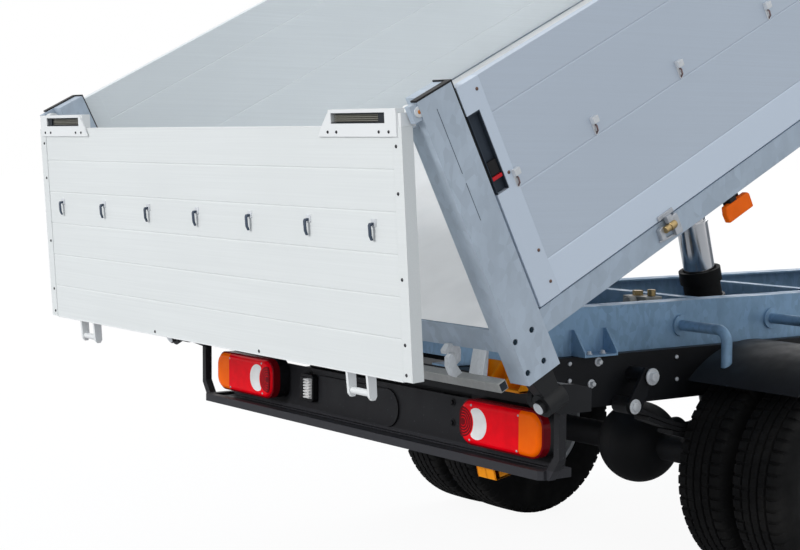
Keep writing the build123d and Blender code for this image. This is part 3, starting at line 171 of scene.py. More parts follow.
# Paint over steel: slight patches, a fine orange-peel skin and rounded edges
def painted(name, color, roughness, spread=0.12, dust=0.0, gloss=0.35):
    made = Shader(name, color, 0.0, roughness, Specular_IOR_Level=gloss)
    made.soften(0.002)
    patches = made.ramp(made.noise(3.0), 0, 1, 0.2, 0.8)
    made.paint(made.mix(patches, shade(color, 1 - spread), shade(color, 1 + spread + dust)))
    made.rough(made.ramp(made.noise(6.0), roughness - 0.02, roughness + 0.04, 0.2, 0.8))
    made.bump(made.noise(420.0, 2.0), 0.00004, 0.1)
    return made


DECK_LEVEL = 0.2835  # height above which the bed's floor is a paler plate, in metres off the bed's origin


# Hot-dip zinc: crystals of slightly different greys, cloudy bloom and long drip marks
def galvanised(name, color, roughness, crystal=55.0, metallic=0.25, contrast=1.0, deck=None):
    made = Shader(name, color, metallic, roughness, Specular_IOR_Level=0.3)
    made.soften(0.002)
    cells = made.node("ShaderNodeTexVoronoi", Scale=crystal, Vector=made.stretched((1, 1, 0.6)))
    grey = made.node("ShaderNodeRGBToBW", Color=cells.outputs["Color"])
    dark, pale = 1 - 0.09 * contrast, 1 + 0.07 * contrast
    greys = made.ramp(grey.outputs["Val"], 0, 1, 0.1, 0.9)
    crystals = made.mix(greys, shade(color, dark), shade(color, pale))
    drips = made.ramp(made.noise(1.0, 4.0, made.stretched((14.0, 14.0, 1.6))), 0, 0.6, 0.45, 0.75)
    streaked = made.mix(drips, crystals, shade(color, 1 - 0.16 * contrast))
    cloud = made.ramp(made.noise(5.5, 6.0), 0, 0.6, 0.45, 0.75)
    tone = made.mix(cloud, streaked, shade(color, 1 + 0.13 * contrast))
    if deck:
        worn = made.ramp(made.noise(2.6, 7.0), 0, 1, 0.42, 0.62)
        scuffs = made.mix(worn, shade(deck, 0.93), shade(deck, 1.02))
        tone = made.mix(made.beyond((0, 0, 1), DECK_LEVEL), tone, scuffs)
    made.paint(tone)
    made.rough(made.ramp(made.noise(14.0, 5.0), roughness - 0.1, roughness + 0.16))
    made.bump(made.noise(90.0, 3.0), 0.0006, 0.16)
    return made


BOARD_END = -0.12  # where the paler end section of a side board starts, in metres along the bed


# Extruded aluminium: faint lines along the plank and hand marks; the lowest plank may be paler
def extruded(name, color, roughness, along, tilt=0.0, metallic=0.15, pale_below=None):
    made = Shader(name, color, metallic, roughness, Specular_IOR_Level=0.3)
    made.soften(0.0015)
    grain = made.stretched(tuple(2.0 if axis == along else 240.0 for axis in range(3)), tilt)
    lines = made.noise(1.0, 3.0, grain)
    streaks = made.mix(made.ramp(lines, 0, 1), shade(color, 0.975), shade(color, 1.02))
    tone = made.mix(made.ramp(made.noise(1.7, 5.0), 0, 0.6), streaks, shade(color, 0.95))
    if pale_below:
        tone = made.mix(made.beyond((0, 0, -1), -pale_below), tone, shade(color, 1.2))
        tone = made.mix(made.beyond((0, 1, 0), BOARD_END), tone, shade(color, 1.13))
    made.paint(tone)
    made.rough(made.ramp(lines, roughness - 0.04, roughness + 0.08))
    made.bump(lines, 0.0001, 0.08)
    return made


def rubber(name, color, roughness):
    made = Shader(name, color, 0.0, roughness, Specular_IOR_Level=0.15)
    made.soften(0.002)
    dust = made.ramp(made.noise(7.0, 6.0), 0, 0.5, 0.5, 0.8)
    made.paint(made.mix(dust, color, (0.03, 0.028, 0.026)))
    made.rough(made.ramp(made.noise(20.0), roughness - 0.08, roughness + 0.08))
    made.bump(made.noise(300.0, 3.0), 0.0004, 0.25)
    return made


def moulded(name, color, roughness, grain=900.0):
    made = Shader(name, color, 0.0, roughness, Specular_IOR_Level=0.2)
    made.soften(0.0015)
    made.paint(made.mix(made.ramp(made.noise(5.0), 0, 1), shade(color, 0.85), shade(color, 1.2)))
    made.rough(made.ramp(made.noise(16.0), roughness - 0.05, roughness + 0.07))
    made.bump(made.noise(grain, 2.0), 0.0003, 0.3)
    return made


# Lamp lens with flutes; its slight glow in its own colour is painted light, standing in for sun on the unlit lens
def lens(name, color):
    made = Shader(name, color, 0.0, 0.12, Coat_Weight=0.08, Coat_Roughness=0.03, Specular_IOR_Level=0.05,
                  Emission_Color=(*color, 1), Emission_Strength=0.1)
    flutes = made.node("ShaderNodeTexWave", Scale=55.0, Distortion=0.0, Vector=made.place)
    made.paint(made.mix(made.ramp(made.noise(30.0), 0, 1), shade(color, 0.92), shade(color, 1.04)))
    made.bump(flutes.outputs["Fac"], 0.0008, 0.2)
    return made


# Black plastic step: pale specks in its anti-slip grain, and a paler lower rim, which is painted light on the lip
def step_plastic(name, color, rim_level):
    made = moulded(name, color, 0.5, 260.0)
    specks = made.ramp(made.noise(150.0, 3.0), 0, 1, 0.68, 0.74)
    height = made.node("ShaderNodeSeparateXYZ", Vector=made.place)
    # Paler below this level: painted light on the lip that faces the key light
    rim = made.ramp(height.outputs["Z"], 1, 0, rim_level - 2 * EDGE_BLEND, rim_level + 2 * EDGE_BLEND)
    tone = made.mix(rim, color, shade(color, 1.9))
    made.paint(made.mix(specks, tone, shade(color, 4.0)))
    return made


def polished(name, color, roughness):
    made = Shader(name, color, 1.0, roughness)
    made.paint(made.mix(made.ramp(made.noise(6.0), 0, 1), shade(color, 0.94), color))
    rings = made.stretched((8.0, 8.0, 600.0))
    made.rough(made.ramp(made.noise(1.0, 2.0, rings), roughness, roughness + 0.08))
    return made


def glazing(name, color):
    made = Shader(name, color, 0.0, 0.03, Transmission_Weight=0.92, IOR=1.45)
    made.paint(made.mix(made.ramp(made.noise(3.0), 0, 1), shade(color, 0.95), color))
    return made


def woven(name, color):
    made = Shader(name, color, 0.0, 0.9, Sheen_Weight=0.3)
    threads = made.node("ShaderNodeTexChecker", Scale=500.0, Vector=made.place)
    made.paint(made.mix(threads.outputs["Fac"], shade(color, 0.7), shade(color, 1.3)))
    made.bump(threads.outputs["Fac"], 0.0006, 0.4)
    return made


# After the name and colour: painted has roughness, spread, dust; galvanised has roughness, crystal, metallic,
# contrast, deck; extruded has roughness, axis along, tilt; moulded, rubber and polished have roughness
FINISHES = {made.name: made for made in (
    painted("chassis_black", (0.0085, 0.009, 0.0105), 0.45, 0.3, 0.5, gloss=0.18),
    painted("axle_black", (0.01, 0.01, 0.011), 0.55, 0.3, 0.6, gloss=0.18),
    painted("spring_steel", (0.012, 0.012, 0.013), 0.5, 0.3, 0.6, gloss=0.2),
    galvanised("engine_metal", (0.32, 0.32, 0.33), 0.5, 90.0, 0.6),
    galvanised("galvanised", (0.49, 0.565, 0.65), 0.45),
    painted("lug_black", (0.01, 0.0105, 0.0115), 0.4, 0.3, 0.3, gloss=0.25),
    lens("lamp_red", (0.86, 0.0006, 0.009)),
    lens("lamp_clear", (0.82, 0.81, 0.8)),
    lens("marker_orange", (0.95, 0.15, 0.008)),
    moulded("chock_orange", (0.92, 0.28, 0.001), 0.45),
    rubber("tyre", (0.006, 0.006, 0.0062), 0.8),
    painted("rim_silver", (0.42, 0.43, 0.44), 0.36, 0.06),
    painted("cab_paint", (0.8, 0.81, 0.81), 0.22, 0.02, gloss=0.5),
    glazing("glass", (0.62, 0.7, 0.68)),
    moulded("trim_black", (0.011, 0.011, 0.0125), 0.5),
    moulded("interior_grey", (0.06, 0.06, 0.065), 0.62),
    woven("seat_cloth", (0.05, 0.055, 0.065)),
    moulded("tank_black", (0.014, 0.014, 0.015), 0.5),
    extruded("bed_aluminium", (0.7, 0.715, 0.725), 0.45, 0),
    painted("gate_paint", (0.84, 0.85, 0.845), 0.35, 0.02),
    painted("ram_paint", (0.02, 0.021, 0.023), 0.4, 0.2, gloss=0.2),
    rubber("ram_rubber", (0.01, 0.01, 0.01), 0.6),
    polished("chrome", (0.62, 0.63, 0.65), 0.12),
    lens("lamp_amber", (1.0, 0.14, 0.001)),
    lens("lamp_dark", (0.16, 0.002, 0.006)),
    galvanised("zinc", (0.5, 0.52, 0.55), 0.35, 200.0, 0.6),
    galvanised("zinc_white", (0.74, 0.76, 0.78), 0.4, 160.0),
    galvanised("zinc_warm", (0.36, 0.36, 0.34), 0.45, 160.0, 0.4),
    galvanised("zinc_grey", (0.4, 0.4, 0.385), 0.4, 120.0, 0.35),
    galvanised("frame_zinc", (0.25, 0.4, 0.57), 0.42, 60.0, 0.25, 1.6),
    galvanised("floor_steel", (0.45, 0.53, 0.62), 0.42, 45.0, 0.2, 1.0, (0.84, 0.84, 0.835)),
    polished("brass", (0.45, 0.33, 0.16), 0.3),
    # Dark navy, painted shade: the sides of the gate's hooks and the posts' scored lines
    painted("navy_painted_shade", (0.045, 0.065, 0.1), 0.4, 0.2),
    polished("hook_copper", (0.2, 0.14, 0.14), 0.35),
    polished("screw_dark", (0.05, 0.05, 0.055), 0.4),
    polished("screw_blue", (0.02, 0.035, 0.05), 0.4),
    polished("screw_brown", (0.16, 0.1, 0.08), 0.45),
    polished("bolt_orange", (0.55, 0.2, 0.04), 0.4),
    moulded("window_dark", (0.02, 0.024, 0.03), 0.5),
    step_plastic("step_black", (0.0165, 0.0165, 0.019), 0.507),
    painted("rib_metal", (0.3, 0.29, 0.25), 0.45, 0.1),
    moulded("slate", (0.03, 0.04, 0.055), 0.55),
    moulded("button_red", (0.72, 0.02, 0.03), 0.35),
    painted("gate_white", (0.87, 0.88, 0.875), 0.35, 0.02),
    polished("mirror", (0.75, 0.77, 0.8), 0.03),
)}
LOWEST_SEAM = 0.385  # height under which a side board is paler, in metres off the bed's origin
# One aluminium in two copies: the right board's darker, bluer copy is painted shade with blue sky light, and the
# left board's paler copy is painted light
SHADED_RIGHT_PLANKS = extruded("planks_right_shaded", (0.58, 0.65, 0.74), 0.42, 1, TILT, pale_below=LOWEST_SEAM)
LIT_LEFT_PLANKS = extruded("planks_left_lit", (0.84, 0.885, 0.9), 0.42, 1, TILT)
GATE_PLANKS = extruded("planks_of_gate", (0.79, 0.81, 0.8), 0.45, 0, 0.0, 0.0)
NODE_FINISHES = {  # nodes whose finish differs from that of their slot
    "side_board_left": LIT_LEFT_PLANKS,
    "side_board_right": SHADED_RIGHT_PLANKS,
    "tailgate": GATE_PLANKS,
    "subframe": FINISHES["frame_zinc"],
    "rear_bumper": FINISHES["step_black"],
    "bed_floor": FINISHES["floor_steel"],
}
slots = {part["node"]: part["material_slot"] for part in frame["record"]["subparts"]}
for name, node in frame["nodes"].items():
    finish = NODE_FINISHES.get(name) or FINISHES[slots[name]]
    for place in node.material_slots:
        place.material = finish.material


# A range across the vehicle on one side of its middle, from two distances off the middle
def across(sign, near, far):
    return tuple(sorted((sign * near, sign * far)))


def full_turn(steps):
    return [2 * math.pi * step / steps for step in range(steps)]


# Mesh builder: gathers simple forms in millimetres of one frame and makes them one piece
class Shape:
    def __init__(self, place=ROAD):
        self.mesh = bmesh.new()
        self.place = place

    # A skin through rings of equally many points
    def rings(self, rings, caps=True):
        rows = [[self.mesh.verts.new(Vector(point)) for point in ring] for ring in rings]
        for near, far in zip(rows, rows[1:]):
            for index in range(len(near)):
                after = (index + 1) % len(near)
                self.mesh.faces.new((near[index], near[after], far[after], far[index]))
        if caps:
            self.mesh.faces.new(rows[0][::-1])
            self.mesh.faces.new(rows[-1])
        return self

    # An outline of the two other axes, shifted to its place and carried along one axis
    def prism(self, outline, axis, span, shift=(0, 0)):
        rings = [[[first + shift[0], second + shift[1]] for first, second in outline] for value in span]
        for ring, value in zip(rings, span):
            for point in ring:
                point.insert(axis, value)
        self.rings(rings)

    def box(self, x, y, z):
        self.prism([(x[0], y[0]), (x[1], y[0]), (x[1], y[1]), (x[0], y[1])], 2, z)

    # A turned form along a way, from a profile of distances and radii
    def lathe(self, start, way, profile, sides):
        start = Vector(start)
        way = Vector(way).normalized()
        side = way.orthogonal().normalized()
        other = way.cross(side)
        arms = [side * math.cos(turn) + other * math.sin(turn) for turn in full_turn(sides)]
        self.rings([[start + way * along + arm * radius for arm in arms] for along, radius in profile])

    def rod(self, start, end, radius, sides, chamfer=0.0):
        way = Vector(end) - Vector(start)
        length = way.length
        profile = [(0, radius), (length, radius)]
        if chamfer:
            narrow = radius - chamfer
            profile = [(0, narrow), (chamfer, radius), (length - chamfer, radius), (length, narrow)]
        self.lathe(start, way, profile, sides)

    # A round wire through points, with mitred corners
    def wire(self, points, radius, sides=12):
        points = [Vector(point) for point in points]
        turns = full_turn(sides)
        rings = []
        side = (points[1] - points[0]).orthogonal().normalized()
        for index, point in enumerate(points):
            before = (point - points[index - 1]).normalized() if index else (points[1] - point).normalized()
            after = (points[index + 1] - point).normalized() if index + 1 < len(points) else before
            way = (before + after).normalized()
            side = (side - way * side.dot(way)).normalized()
            other = way.cross(side)
            arms = [side * math.cos(turn) + other * math.sin(turn) for turn in turns]
            rings.append([point + arm * radius for arm in arms])
        self.rings(rings)

    # A hexagon head on a washer
    def bolt(self, seat, way, radius, height, washer):
        way = Vector(way).normalized()
        seat = Vector(seat)
        top = seat + way * washer
        self.rod(seat - way, top, radius * 1.55, 20, 0.4)
        self.lathe(top, way, [(0, radius), (height * 0.75, radius), (height, radius * 0.82)], 6)

    # A domed screw head, sunk by a millimetre
    def screw(self, seat, way, radius):
        seat = Vector(seat) - Vector(way).normalized()
        profile = [(0, radius), (1.6, radius), (3.0, radius * 0.7), (3.4, radius * 0.3)]
        self.lathe(seat, way, profile, 14)

    # Makes the gathered forms one piece that rides on a body, in its finish; slot is not used,
    # and soft is the rounding of its edges
    def done(self, name, body, finish, slot=None, replaces=None, soft=0.0):
        bmesh.ops.recalc_face_normals(self.mesh, faces=self.mesh.faces)
        self.mesh.transform(self.place @ Matrix.Scale(MM, 4))
        mesh = bpy.data.meshes.new(name)
        self.mesh.to_mesh(mesh)
        self.mesh.free()
        mesh.materials.append(FINISHES[finish].material)
        mesh.shade_smooth()
        mesh.set_sharp_from_angle(angle=SMOOTH)
        piece = bpy.data.objects.new(name, mesh)
        bpy.context.scene.collection.objects.link(piece)
        if soft:
            rounding = piece.modifiers.new("rounding", "BEVEL")
            rounding.width = soft * MM
            rounding.segments = 2
            rounding.limit_method = "ANGLE"
            rounding.angle_limit = SMOOTH
        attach(piece, body)
        if replaces:
            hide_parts(replaces)


TYRE_R = 345
TYRE_W = 196
TREAD_CLEAR = 0.2
REAR_AXLE_Y = 1320
FRONT_AXLE_Y = -2360
FRONT_TRACK = 815
REAR_TRACK = 732
TWIN_OFFSET = 114.5
TYRE_HALF_SECTION = [  # share of width, share of radius, depth of the cross notch
    (0.0, 1.0, 0.0), (0.056, 1.0, 0.006), (0.064, 0.974, 0.0), (0.094, 0.974, 0.0), (0.102, 1.0, 0.006),
    (0.216, 0.999, 0.006), (0.224, 0.972, 0.0), (0.256, 0.972, 0.0), (0.264, 0.998, 0.02),
    (0.36, 0.997, 0.02), (0.41, 0.992, 0.02), (0.435, 0.982, 0.018), (0.455, 0.962, 0.012),
    (0.47, 0.935, 0.004), (0.484, 0.9, 0.0), (0.489, 0.893, 0.0), (0.489, 0.872, 0.0), (0.496, 0.862, 0.0),
    (0.5, 0.8, 0.0), (0.5, 0.76, 0.0), (0.494, 0.72, 0.0), (0.486, 0.714, 0.0), (0.478, 0.66, 0.0),
    (0.462, 0.632, 0.0), (0.44, 0.602, 0.0),
]
TREAD_BLOCKS = 60
BLOCK_STEPS = (0.0, 0.68, 0.72, 0.96)  # shares of a block's length; its notch is in the last two
MIDDLE_RIB = 0.1  # share of the width, past which one side's blocks are half a block out of step


# Tyres: sidewalls with raised rings, four grooves round the tread and notched shoulders
def tyres(node, body, middles, axle_y):
    shape = Shape()
    section = TYRE_HALF_SECTION + [(-wide, high, notch) for wide, high, notch in TYRE_HALF_SECTION[:0:-1]]
    for middle in middles:
        rows = []
        for block in range(TREAD_BLOCKS):
            for number, step in enumerate(BLOCK_STEPS):
                row = []
                for wide, high, notch in section:
                    stagger = 0.5 if wide < -MIDDLE_RIB else 0.0
                    turn = 2 * math.pi * (block + step + stagger) / TREAD_BLOCKS
                    radius = TYRE_R * (high - (notch if number > 1 else 0.0)) - TREAD_CLEAR
                    along, up = radius * math.sin(turn), radius * math.cos(turn)
                    row.append((middle + TYRE_W * wide, axle_y + along, TYRE_R + up))
                rows.append(row)
        rows.append(rows[0])
        shape.rings(rows, caps=False)
    bmesh.ops.remove_doubles(shape.mesh, verts=shape.mesh.verts, dist=0.001)
    shape.done(node + "_tread", body, "tyre", replaces=node)


def wheel_nuts(name, body, face_x, axle_y, sign, circle):
    shape = Shape()
    for turn in full_turn(6):
        seat = (face_x, axle_y + circle * math.sin(turn), TYRE_R + circle * math.cos(turn))
        shape.bolt(seat, (sign, 0, 0), 11, 15, 3)
    shape.done(name, body, "zinc", "chrome")


for hand, sign in HANDS:
    twins = [sign * REAR_TRACK - TWIN_OFFSET, sign * REAR_TRACK + TWIN_OFFSET]
    tyres(f"front_tyre_{hand}", f"front_wheel_{hand}", [sign * FRONT_TRACK], FRONT_AXLE_Y)
    tyres(f"rear_tyres_{hand}", f"rear_wheels_{hand}", twins, REAR_AXLE_Y)
    wheel_nuts(f"front_nuts_{hand}", f"front_wheel_{hand}", sign * 895, FRONT_AXLE_Y, sign, circle=98)
    wheel_nuts(f"rear_nuts_{hand}", f"rear_wheels_{hand}", sign * 744, REAR_AXLE_Y, sign, circle=100)

LAMP_MID = (682, 590)
LAMP_HALF = (176, 62)
LAMP_ROUND = 44
LAMP_BACK = 2430
LENS_BACK = 2470
LENS_FACE = 2507
LENS_DOME = 15
LENS_ROWS = 20
ROUND_STEPS = 6
AMBER_FROM = 772 - LAMP_MID[0]
FIELD_GAP = 0.4
CRESCENT_OUT = (588, 45)  # its outer arc's middle and radius
CRESCENT_IN = (526.5, 47.5)
REFLECTOR_RINGS = (36, 28, 20, 12)
REFLECTOR_INSET = 5
LAMP_SCREWS = ((562, 50), (556, -49), (768, 47), (763, -51))


# Half height of the rounded lens at a distance from its middle
def half_height(reach):
    inside = abs(reach) - (LAMP_HALF[0] - LAMP_ROUND)
    if inside <= 0:
        return LAMP_HALF[1]
    return LAMP_HALF[1] - LAMP_ROUND + math.sqrt(max(LAMP_ROUND ** 2 - inside ** 2, 0))


# Distance from a point of the rounded lens to its edge
def edge_distance(x, z):
    out_x = abs(x) - (LAMP_HALF[0] - LAMP_ROUND)
    out_z = abs(z) - (LAMP_HALF[1] - LAMP_ROUND)
    if out_x > 0 and out_z > 0:
        return LAMP_ROUND - math.hypot(out_x, out_z)
    return LAMP_ROUND - max(out_x, out_z)


# The part of a domed lens between two distances from the lamp's middle, with its rim wall
def lens_field(name, sign, low, high, columns, *looks):
    rings = []
    for index in range(columns + 1):
        reach = low + (high - low) * (1 - math.cos(math.pi * index / columns)) / 2
        tall = max(half_height(reach), 0.2)
        x = sign * (LAMP_MID[0] + reach)
        ring = []
        for row in range(LENS_ROWS + 1):
            z = tall * math.sin(math.pi * (row / LENS_ROWS - 0.5))
            inside = min(max(edge_distance(reach, z), 0.0), LENS_DOME)
            rise = math.sqrt(LENS_DOME ** 2 - (LENS_DOME - inside) ** 2)
            ring.append((x, LENS_FACE - LENS_DOME + rise, LAMP_MID[1] + z))
        ring += [(x, LENS_BACK, ring[-1][2]), (x, LENS_BACK, ring[0][2])]
        rings.append(ring)
    Shape().rings(rings).done(name, "chassis", *looks, replaces="rear_lamps")


def arc(centre, radius, start, end, steps):
    turns = [math.radians(start + (end - start) * step / steps) for step in range(steps + 1)]
    return [(centre + radius * math.cos(turn), radius * math.sin(turn)) for turn in turns]


def rounded_rectangle(half, radius):
    points = []
    for turn, (x, z) in zip((0, 90, 180, 270), ((1, 1), (-1, 1), (-1, -1), (1, -1))):
        middle_x, middle_z = x * (half[0] - radius), z * (half[1] - radius)
        for step in range(ROUND_STEPS + 1):
            angle = math.radians(turn + 90 * step / ROUND_STEPS)
            points.append((middle_x + radius * math.cos(angle), middle_z + radius * math.sin(angle)))
    return points


# The lamp's outline in x and z, wider than the lens by a margin
def lamp_outline(sign, margin, rounder):
    half = (LAMP_HALF[0] + margin, LAMP_HALF[1] + margin)
    outline = rounded_rectangle(half, LAMP_ROUND + rounder)
    return [(sign * LAMP_MID[0] + x, LAMP_MID[1] + z) for x, z in outline]


# Rear lamp: a black tray, a domed lens in fields, a white crescent, a round reflector and four screws
def rear_lamp(hand, sign):
    ahead = (0, 1, 0)
    half = LAMP_HALF[0]
    lens_field(f"lamp_red_{hand}", sign, -half, AMBER_FROM - FIELD_GAP, 30, "lamp_red")
    lens_field(f"lamp_amber_{hand}", sign, AMBER_FROM, half, 20, "lamp_amber", "marker_orange")
    tray = Shape()
    tray.prism(lamp_outline(sign, 3, 2), 1, (LAMP_BACK, LENS_BACK + 8))
    tray.done(f"lamp_tray_{hand}", "chassis", "trim_black", replaces="rear_lamps", soft=2.0)

    outer = arc(*CRESCENT_OUT, -122, 122, 30)
    inner = arc(*CRESCENT_IN, 52, -52, 20)
    outline = [(sign * x, LAMP_MID[1] + z) for x, z in outer + inner[2:-2]]
    crescent = Shape()
    crescent.prism(outline, 1, (LENS_FACE - 4, LENS_FACE + 0.9))
    crescent.done(f"lamp_crescent_{hand}", "chassis", "lamp_clear", soft=0.5)

    outside, inside = lamp_outline(sign, 3.5, 3), lamp_outline(sign, -1, -1)
    rim = Shape()
    levels = ((outside, LENS_BACK), (outside, LENS_FACE - 12), (inside, LENS_FACE - 10), (inside, LENS_BACK))
    rim.rings([[(x, y, z) for x, z in edge] for edge, y in levels], caps=False)
    rim.done(f"lamp_rim_{hand}", "chassis", "lamp_dark", "lamp_red", replaces="rear_lamps")

    profile = [(0, 43), (1.4, 42)]
    for radius in REFLECTOR_RINGS:
        profile += [(1.4, radius + 1.5), (0.6, radius + 0.5), (0.6, radius - 0.5), (1.4, radius - 1.5)]
    profile.append((1.6, 6))
    reflector = Shape()
    reflector.lathe((sign * CRESCENT_IN[0], LENS_FACE - 1, LAMP_MID[1]), ahead, profile, 48)
    for vert in reflector.mesh.verts:
        while edge_distance(abs(vert.co.x) - LAMP_MID[0], vert.co.z - LAMP_MID[1]) < REFLECTOR_INSET:
            vert.co.x += sign
    reflector.done(f"lamp_reflector_{hand}", "chassis", "lamp_dark", "lamp_red")

    screws = Shape()
    for x, z in LAMP_SCREWS:
        screws.screw((sign * x, LENS_FACE - 1.5, LAMP_MID[1] + z), ahead, 4)
    screws.done(f"lamp_screws_{hand}", "chassis", "zinc", "chrome")


rear_lamp("left", 1)
rear_lamp("right", -1)

PLATE_LAMP_MID = (371, 577)
PLATE_LAMP_FACE = 2452
FLUTE_PITCH = 9.4
FLUTE = ((0, 0), (11, 2), (13, 4.7), (11, 7.4), (0, FLUTE_PITCH))  # off the face, up

# Lamp of the number plate's place: a black case with a fluted clear lens
case = Shape()
case.prism(rounded_rectangle((37, 45), 12), 1, (LAMP_BACK, PLATE_LAMP_FACE), PLATE_LAMP_MID)
case.box((366, 406), (PLATE_LAMP_FACE, PLATE_LAMP_FACE + 4), (540, 612))
case.done("plate_lamp", "chassis", "trim_black", replaces="rear_lamps", soft=2.0)
glass = Shape()
for index in range(7):
    glass.prism(FLUTE, 0, (340, 372), (PLATE_LAMP_FACE, 544 + index * FLUTE_PITCH))
glass.done("plate_lamp_glass", "chassis", "lamp_clear")

GATE_FACE = 36
GATE_HOOK_PITCH = 293
HOOK_SEAT = ((-12, -258), (9, -258), (9, -270), (2, -282), (-12, -276))  # across, up
HOOK_BOW = (  # off the face, up
    (1, -267), (12, -268), (15, -274), (14, -300), (9, -312), (6, -310), (10, -299), (11, -276), (1, -272),
)
GATE_SCREWS = (  # off the face, radius, places across and up
    (2, 4.6, ((990, -80), (990, -194), (990, -402), (990, -562), (990, -636))),
    (6, 4.2, ((704, -45), (743, -45), (927, -45), (968, -45))),
    (3.2, 4.2, ((986, 3),)),
    (-0.5, 5, ((300, -645),)),
)
WINDOW = (721, 951)
WINDOW_DIVIDER = (921, 950)
RIB_SECTION = ((26, 0), (33, 0.8), (35, 2.2), (33, 3.6), (26, 4.4))  # off the gate, up
RIB_PITCH = 5

# Rope hooks along the gate, whose dark navy colour is painted shade on their sides
seats = Shape(GATE)
hooks = Shape(GATE)
for index in range(-3, 4):
    x = index * GATE_HOOK_PITCH
    seats.prism(HOOK_SEAT, 1, (GATE_FACE - 1, GATE_FACE + 3), (x, 0))
    hooks.prism(HOOK_BOW, 0, (x - 4, x + 6), (GATE_FACE, 0))
seats.done("gate_hook_seats", "tailgate", "zinc_white", "galvanised", soft=0.6)
hooks.done("gate_hooks", "tailgate", "navy_painted_shade", "chrome", soft=0.8)

# Screws of the gate's edges, corner windows, top corners and lower lip
screws = Shape(GATE)
for sign in SIDES:
    for proud, radius, places in GATE_SCREWS:
        for x, up in places:
            screws.screw((sign * x, GATE_FACE + proud, up), (0, 1, 0), radius)
screws.done("gate_screws", "tailgate", "screw_dark", "chrome")

# Corner windows of the gate: a dark lining and four ribs
liners = Shape(GATE)
ribs = Shape(GATE)
for sign in SIDES:
    x = across(sign, *WINDOW)
    liners.box(x, (24.2, 26), (-23, 1))
    liners.box(x, (26, 41), (-23.6, -21.5))
    liners.box(x, (26, 41), (-0.5, 1.6))
    liners.box(across(sign, *WINDOW_DIVIDER), (26, 38), (-21.5, -0.5))
    for row in range(4):
        ribs.prism(RIB_SECTION, 0, across(sign, 725, 918), (0, -20.5 + row * RIB_PITCH))
liners.done("gate_window_liners", "tailgate", "window_dark", "trim_black")
ribs.done("gate_window_ribs", "tailgate", "rib_metal", "galvanised")

# Lips along the gate's lower edge and its top rail
lips = Shape(GATE)
lips.box((-974, 974), (3.5, 37), (-656, -652.5))
lips.box((-699, 699), (3.5, 37), (-33.5, -31))
lips.done("gate_rails", "tailgate", "gate_white", "gate_paint", soft=0.8)

PIVOT_Y = 76
PIVOT_UP = 893
POST_BOLTS = ((64, 248), (4, 249), (63, 157), (4, 158))  # along, up
POST_SCORES = ((702, 877), (574, 677))  # lower and upper end

# Pivots of the tailgate: caps on both sides of each post, and a bolt
caps = Shape(BED)
bolts = Shape(BED)
for sign in SIDES:
    for near, far, radius, sides in ((1013, 1016.5, 17, 28), (1035, 1039, 14, 24)):
        start, end = ((sign * x, PIVOT_Y, PIVOT_UP) for x in (near, far))
        caps.rod(start, end, radius, sides, 1)
    bolts.bolt((sign * 1036.5, PIVOT_Y, PIVOT_UP), (sign, 0, 0), 6, 2.4, 0.5)
caps.done("gate_pivot_caps", "bed", "zinc_white", "galvanised")
bolts.done("gate_pivot_bolts", "bed", "bolt_orange", "marker_orange")

# Rear posts: black caps, thin dark strips of painted shade in the scored lines, and foot bolts
caps = Shape(BED)
bolts = Shape(BED)
scores = Shape(BED)
for sign in SIDES:
    caps.box(across(sign, 1018, 1041), (-42, 76), (917, 922))
    caps.box(across(sign, 966, 1040), (-44.5, -41), (640, 922))
    for y, z in POST_BOLTS:
        bolts.bolt((sign * 1037, y, z), (sign, 0, 0), 5.0, 2.2, 0.4)
    for span in POST_SCORES:
        scores.box(across(sign, 1039.5, 1040.4), (26, 27.5), span)
scores.done("post_score_shade", "bed", "navy_painted_shade", "galvanised")
caps.done("post_caps", "bed", "trim_black", soft=0.8)
bolts.done("post_foot_bolts", "bed", "screw_blue", "chrome")

END_FACE = 1042  # outer faces of a side board's end section, of its planks, and of the bed's edge rail
PLANK_FACE = 1040
EDGE_FACE = 1036.5
LATCH = ((-87, -47), (606, 819))  # along, up
BOARD_SCREWS = ((-103, 868), (-103, 640), (-103, 420), (-103, 330))
ROPE_HOOKS = (-120, -410, -745, -1120, -1500, -1880, -2260, -2640, -3020)
HOOK_PLATE = ((-5, 626), (9, 626), (9, 596), (5, 591), (-1, 593), (-5, 600))  # along, up
HOOK_WIRE = ((2, -1, 620), (8, 0, 616), (9, 2, 604), (2, 4, 596))  # off the face, along, up
BOARD_HINGES = (-530, -1500, -2450, -3250)
HINGE_X = 1054  # axis on which a side board drops, from the middle and off the bed
HINGE_UP = 262
CLASP_BACK = ((-36, 226), (-10, 226), (-10, 280), (-30, 284), (-36, 276))  # along, up
CLASP_FRONT = ((26, 238), (42, 238), (42, 268), (26, 272))
CLASP_FOOT = ((-40, 220), (46, 232), (46, 238), (-40, 227))


# Latch in the end section of a side board: a lined recess, a handle and a red button
def board_latch(hand, sign):
    body = f"side_board_{hand}"
    (front, rear), (low, high) = LATCH

    def depth(near, far):
        return across(sign, END_FACE - near, END_FACE - far)

    liner = Shape(BED)
    liner.box(depth(12, 19.6), (front, rear), (low, high))
    liner.box(depth(0.5, 12), (front, front + 2.5), (low, high))
    liner.box(depth(0.5, 12), (rear - 2.5, rear), (low, high))
    liner.box(depth(0.5, 12), (front + 2.5, rear - 2.5), (high - 3, high))
    liner.done(f"latch_liner_{hand}", body, "slate", "trim_black")
    handle = Shape(BED)
    handle.box(depth(3, 12), (-82, -52), (652, 690))
    handle.done(f"latch_handle_{hand}", body, "trim_black", soft=1.5)
    button = Shape(BED)
    button.box(depth(1, 12), (-84, -50), (640, 650))
    button.done(f"latch_button_{hand}", body, "button_red", "lamp_red", soft=2.0)
    screws = Shape(BED)
    for y, z in BOARD_SCREWS:
        screws.screw((sign * END_FACE, y, z), (sign, 0, 0), 4.6)
    screws.done(f"board_screws_{hand}", body, "screw_brown", "chrome")


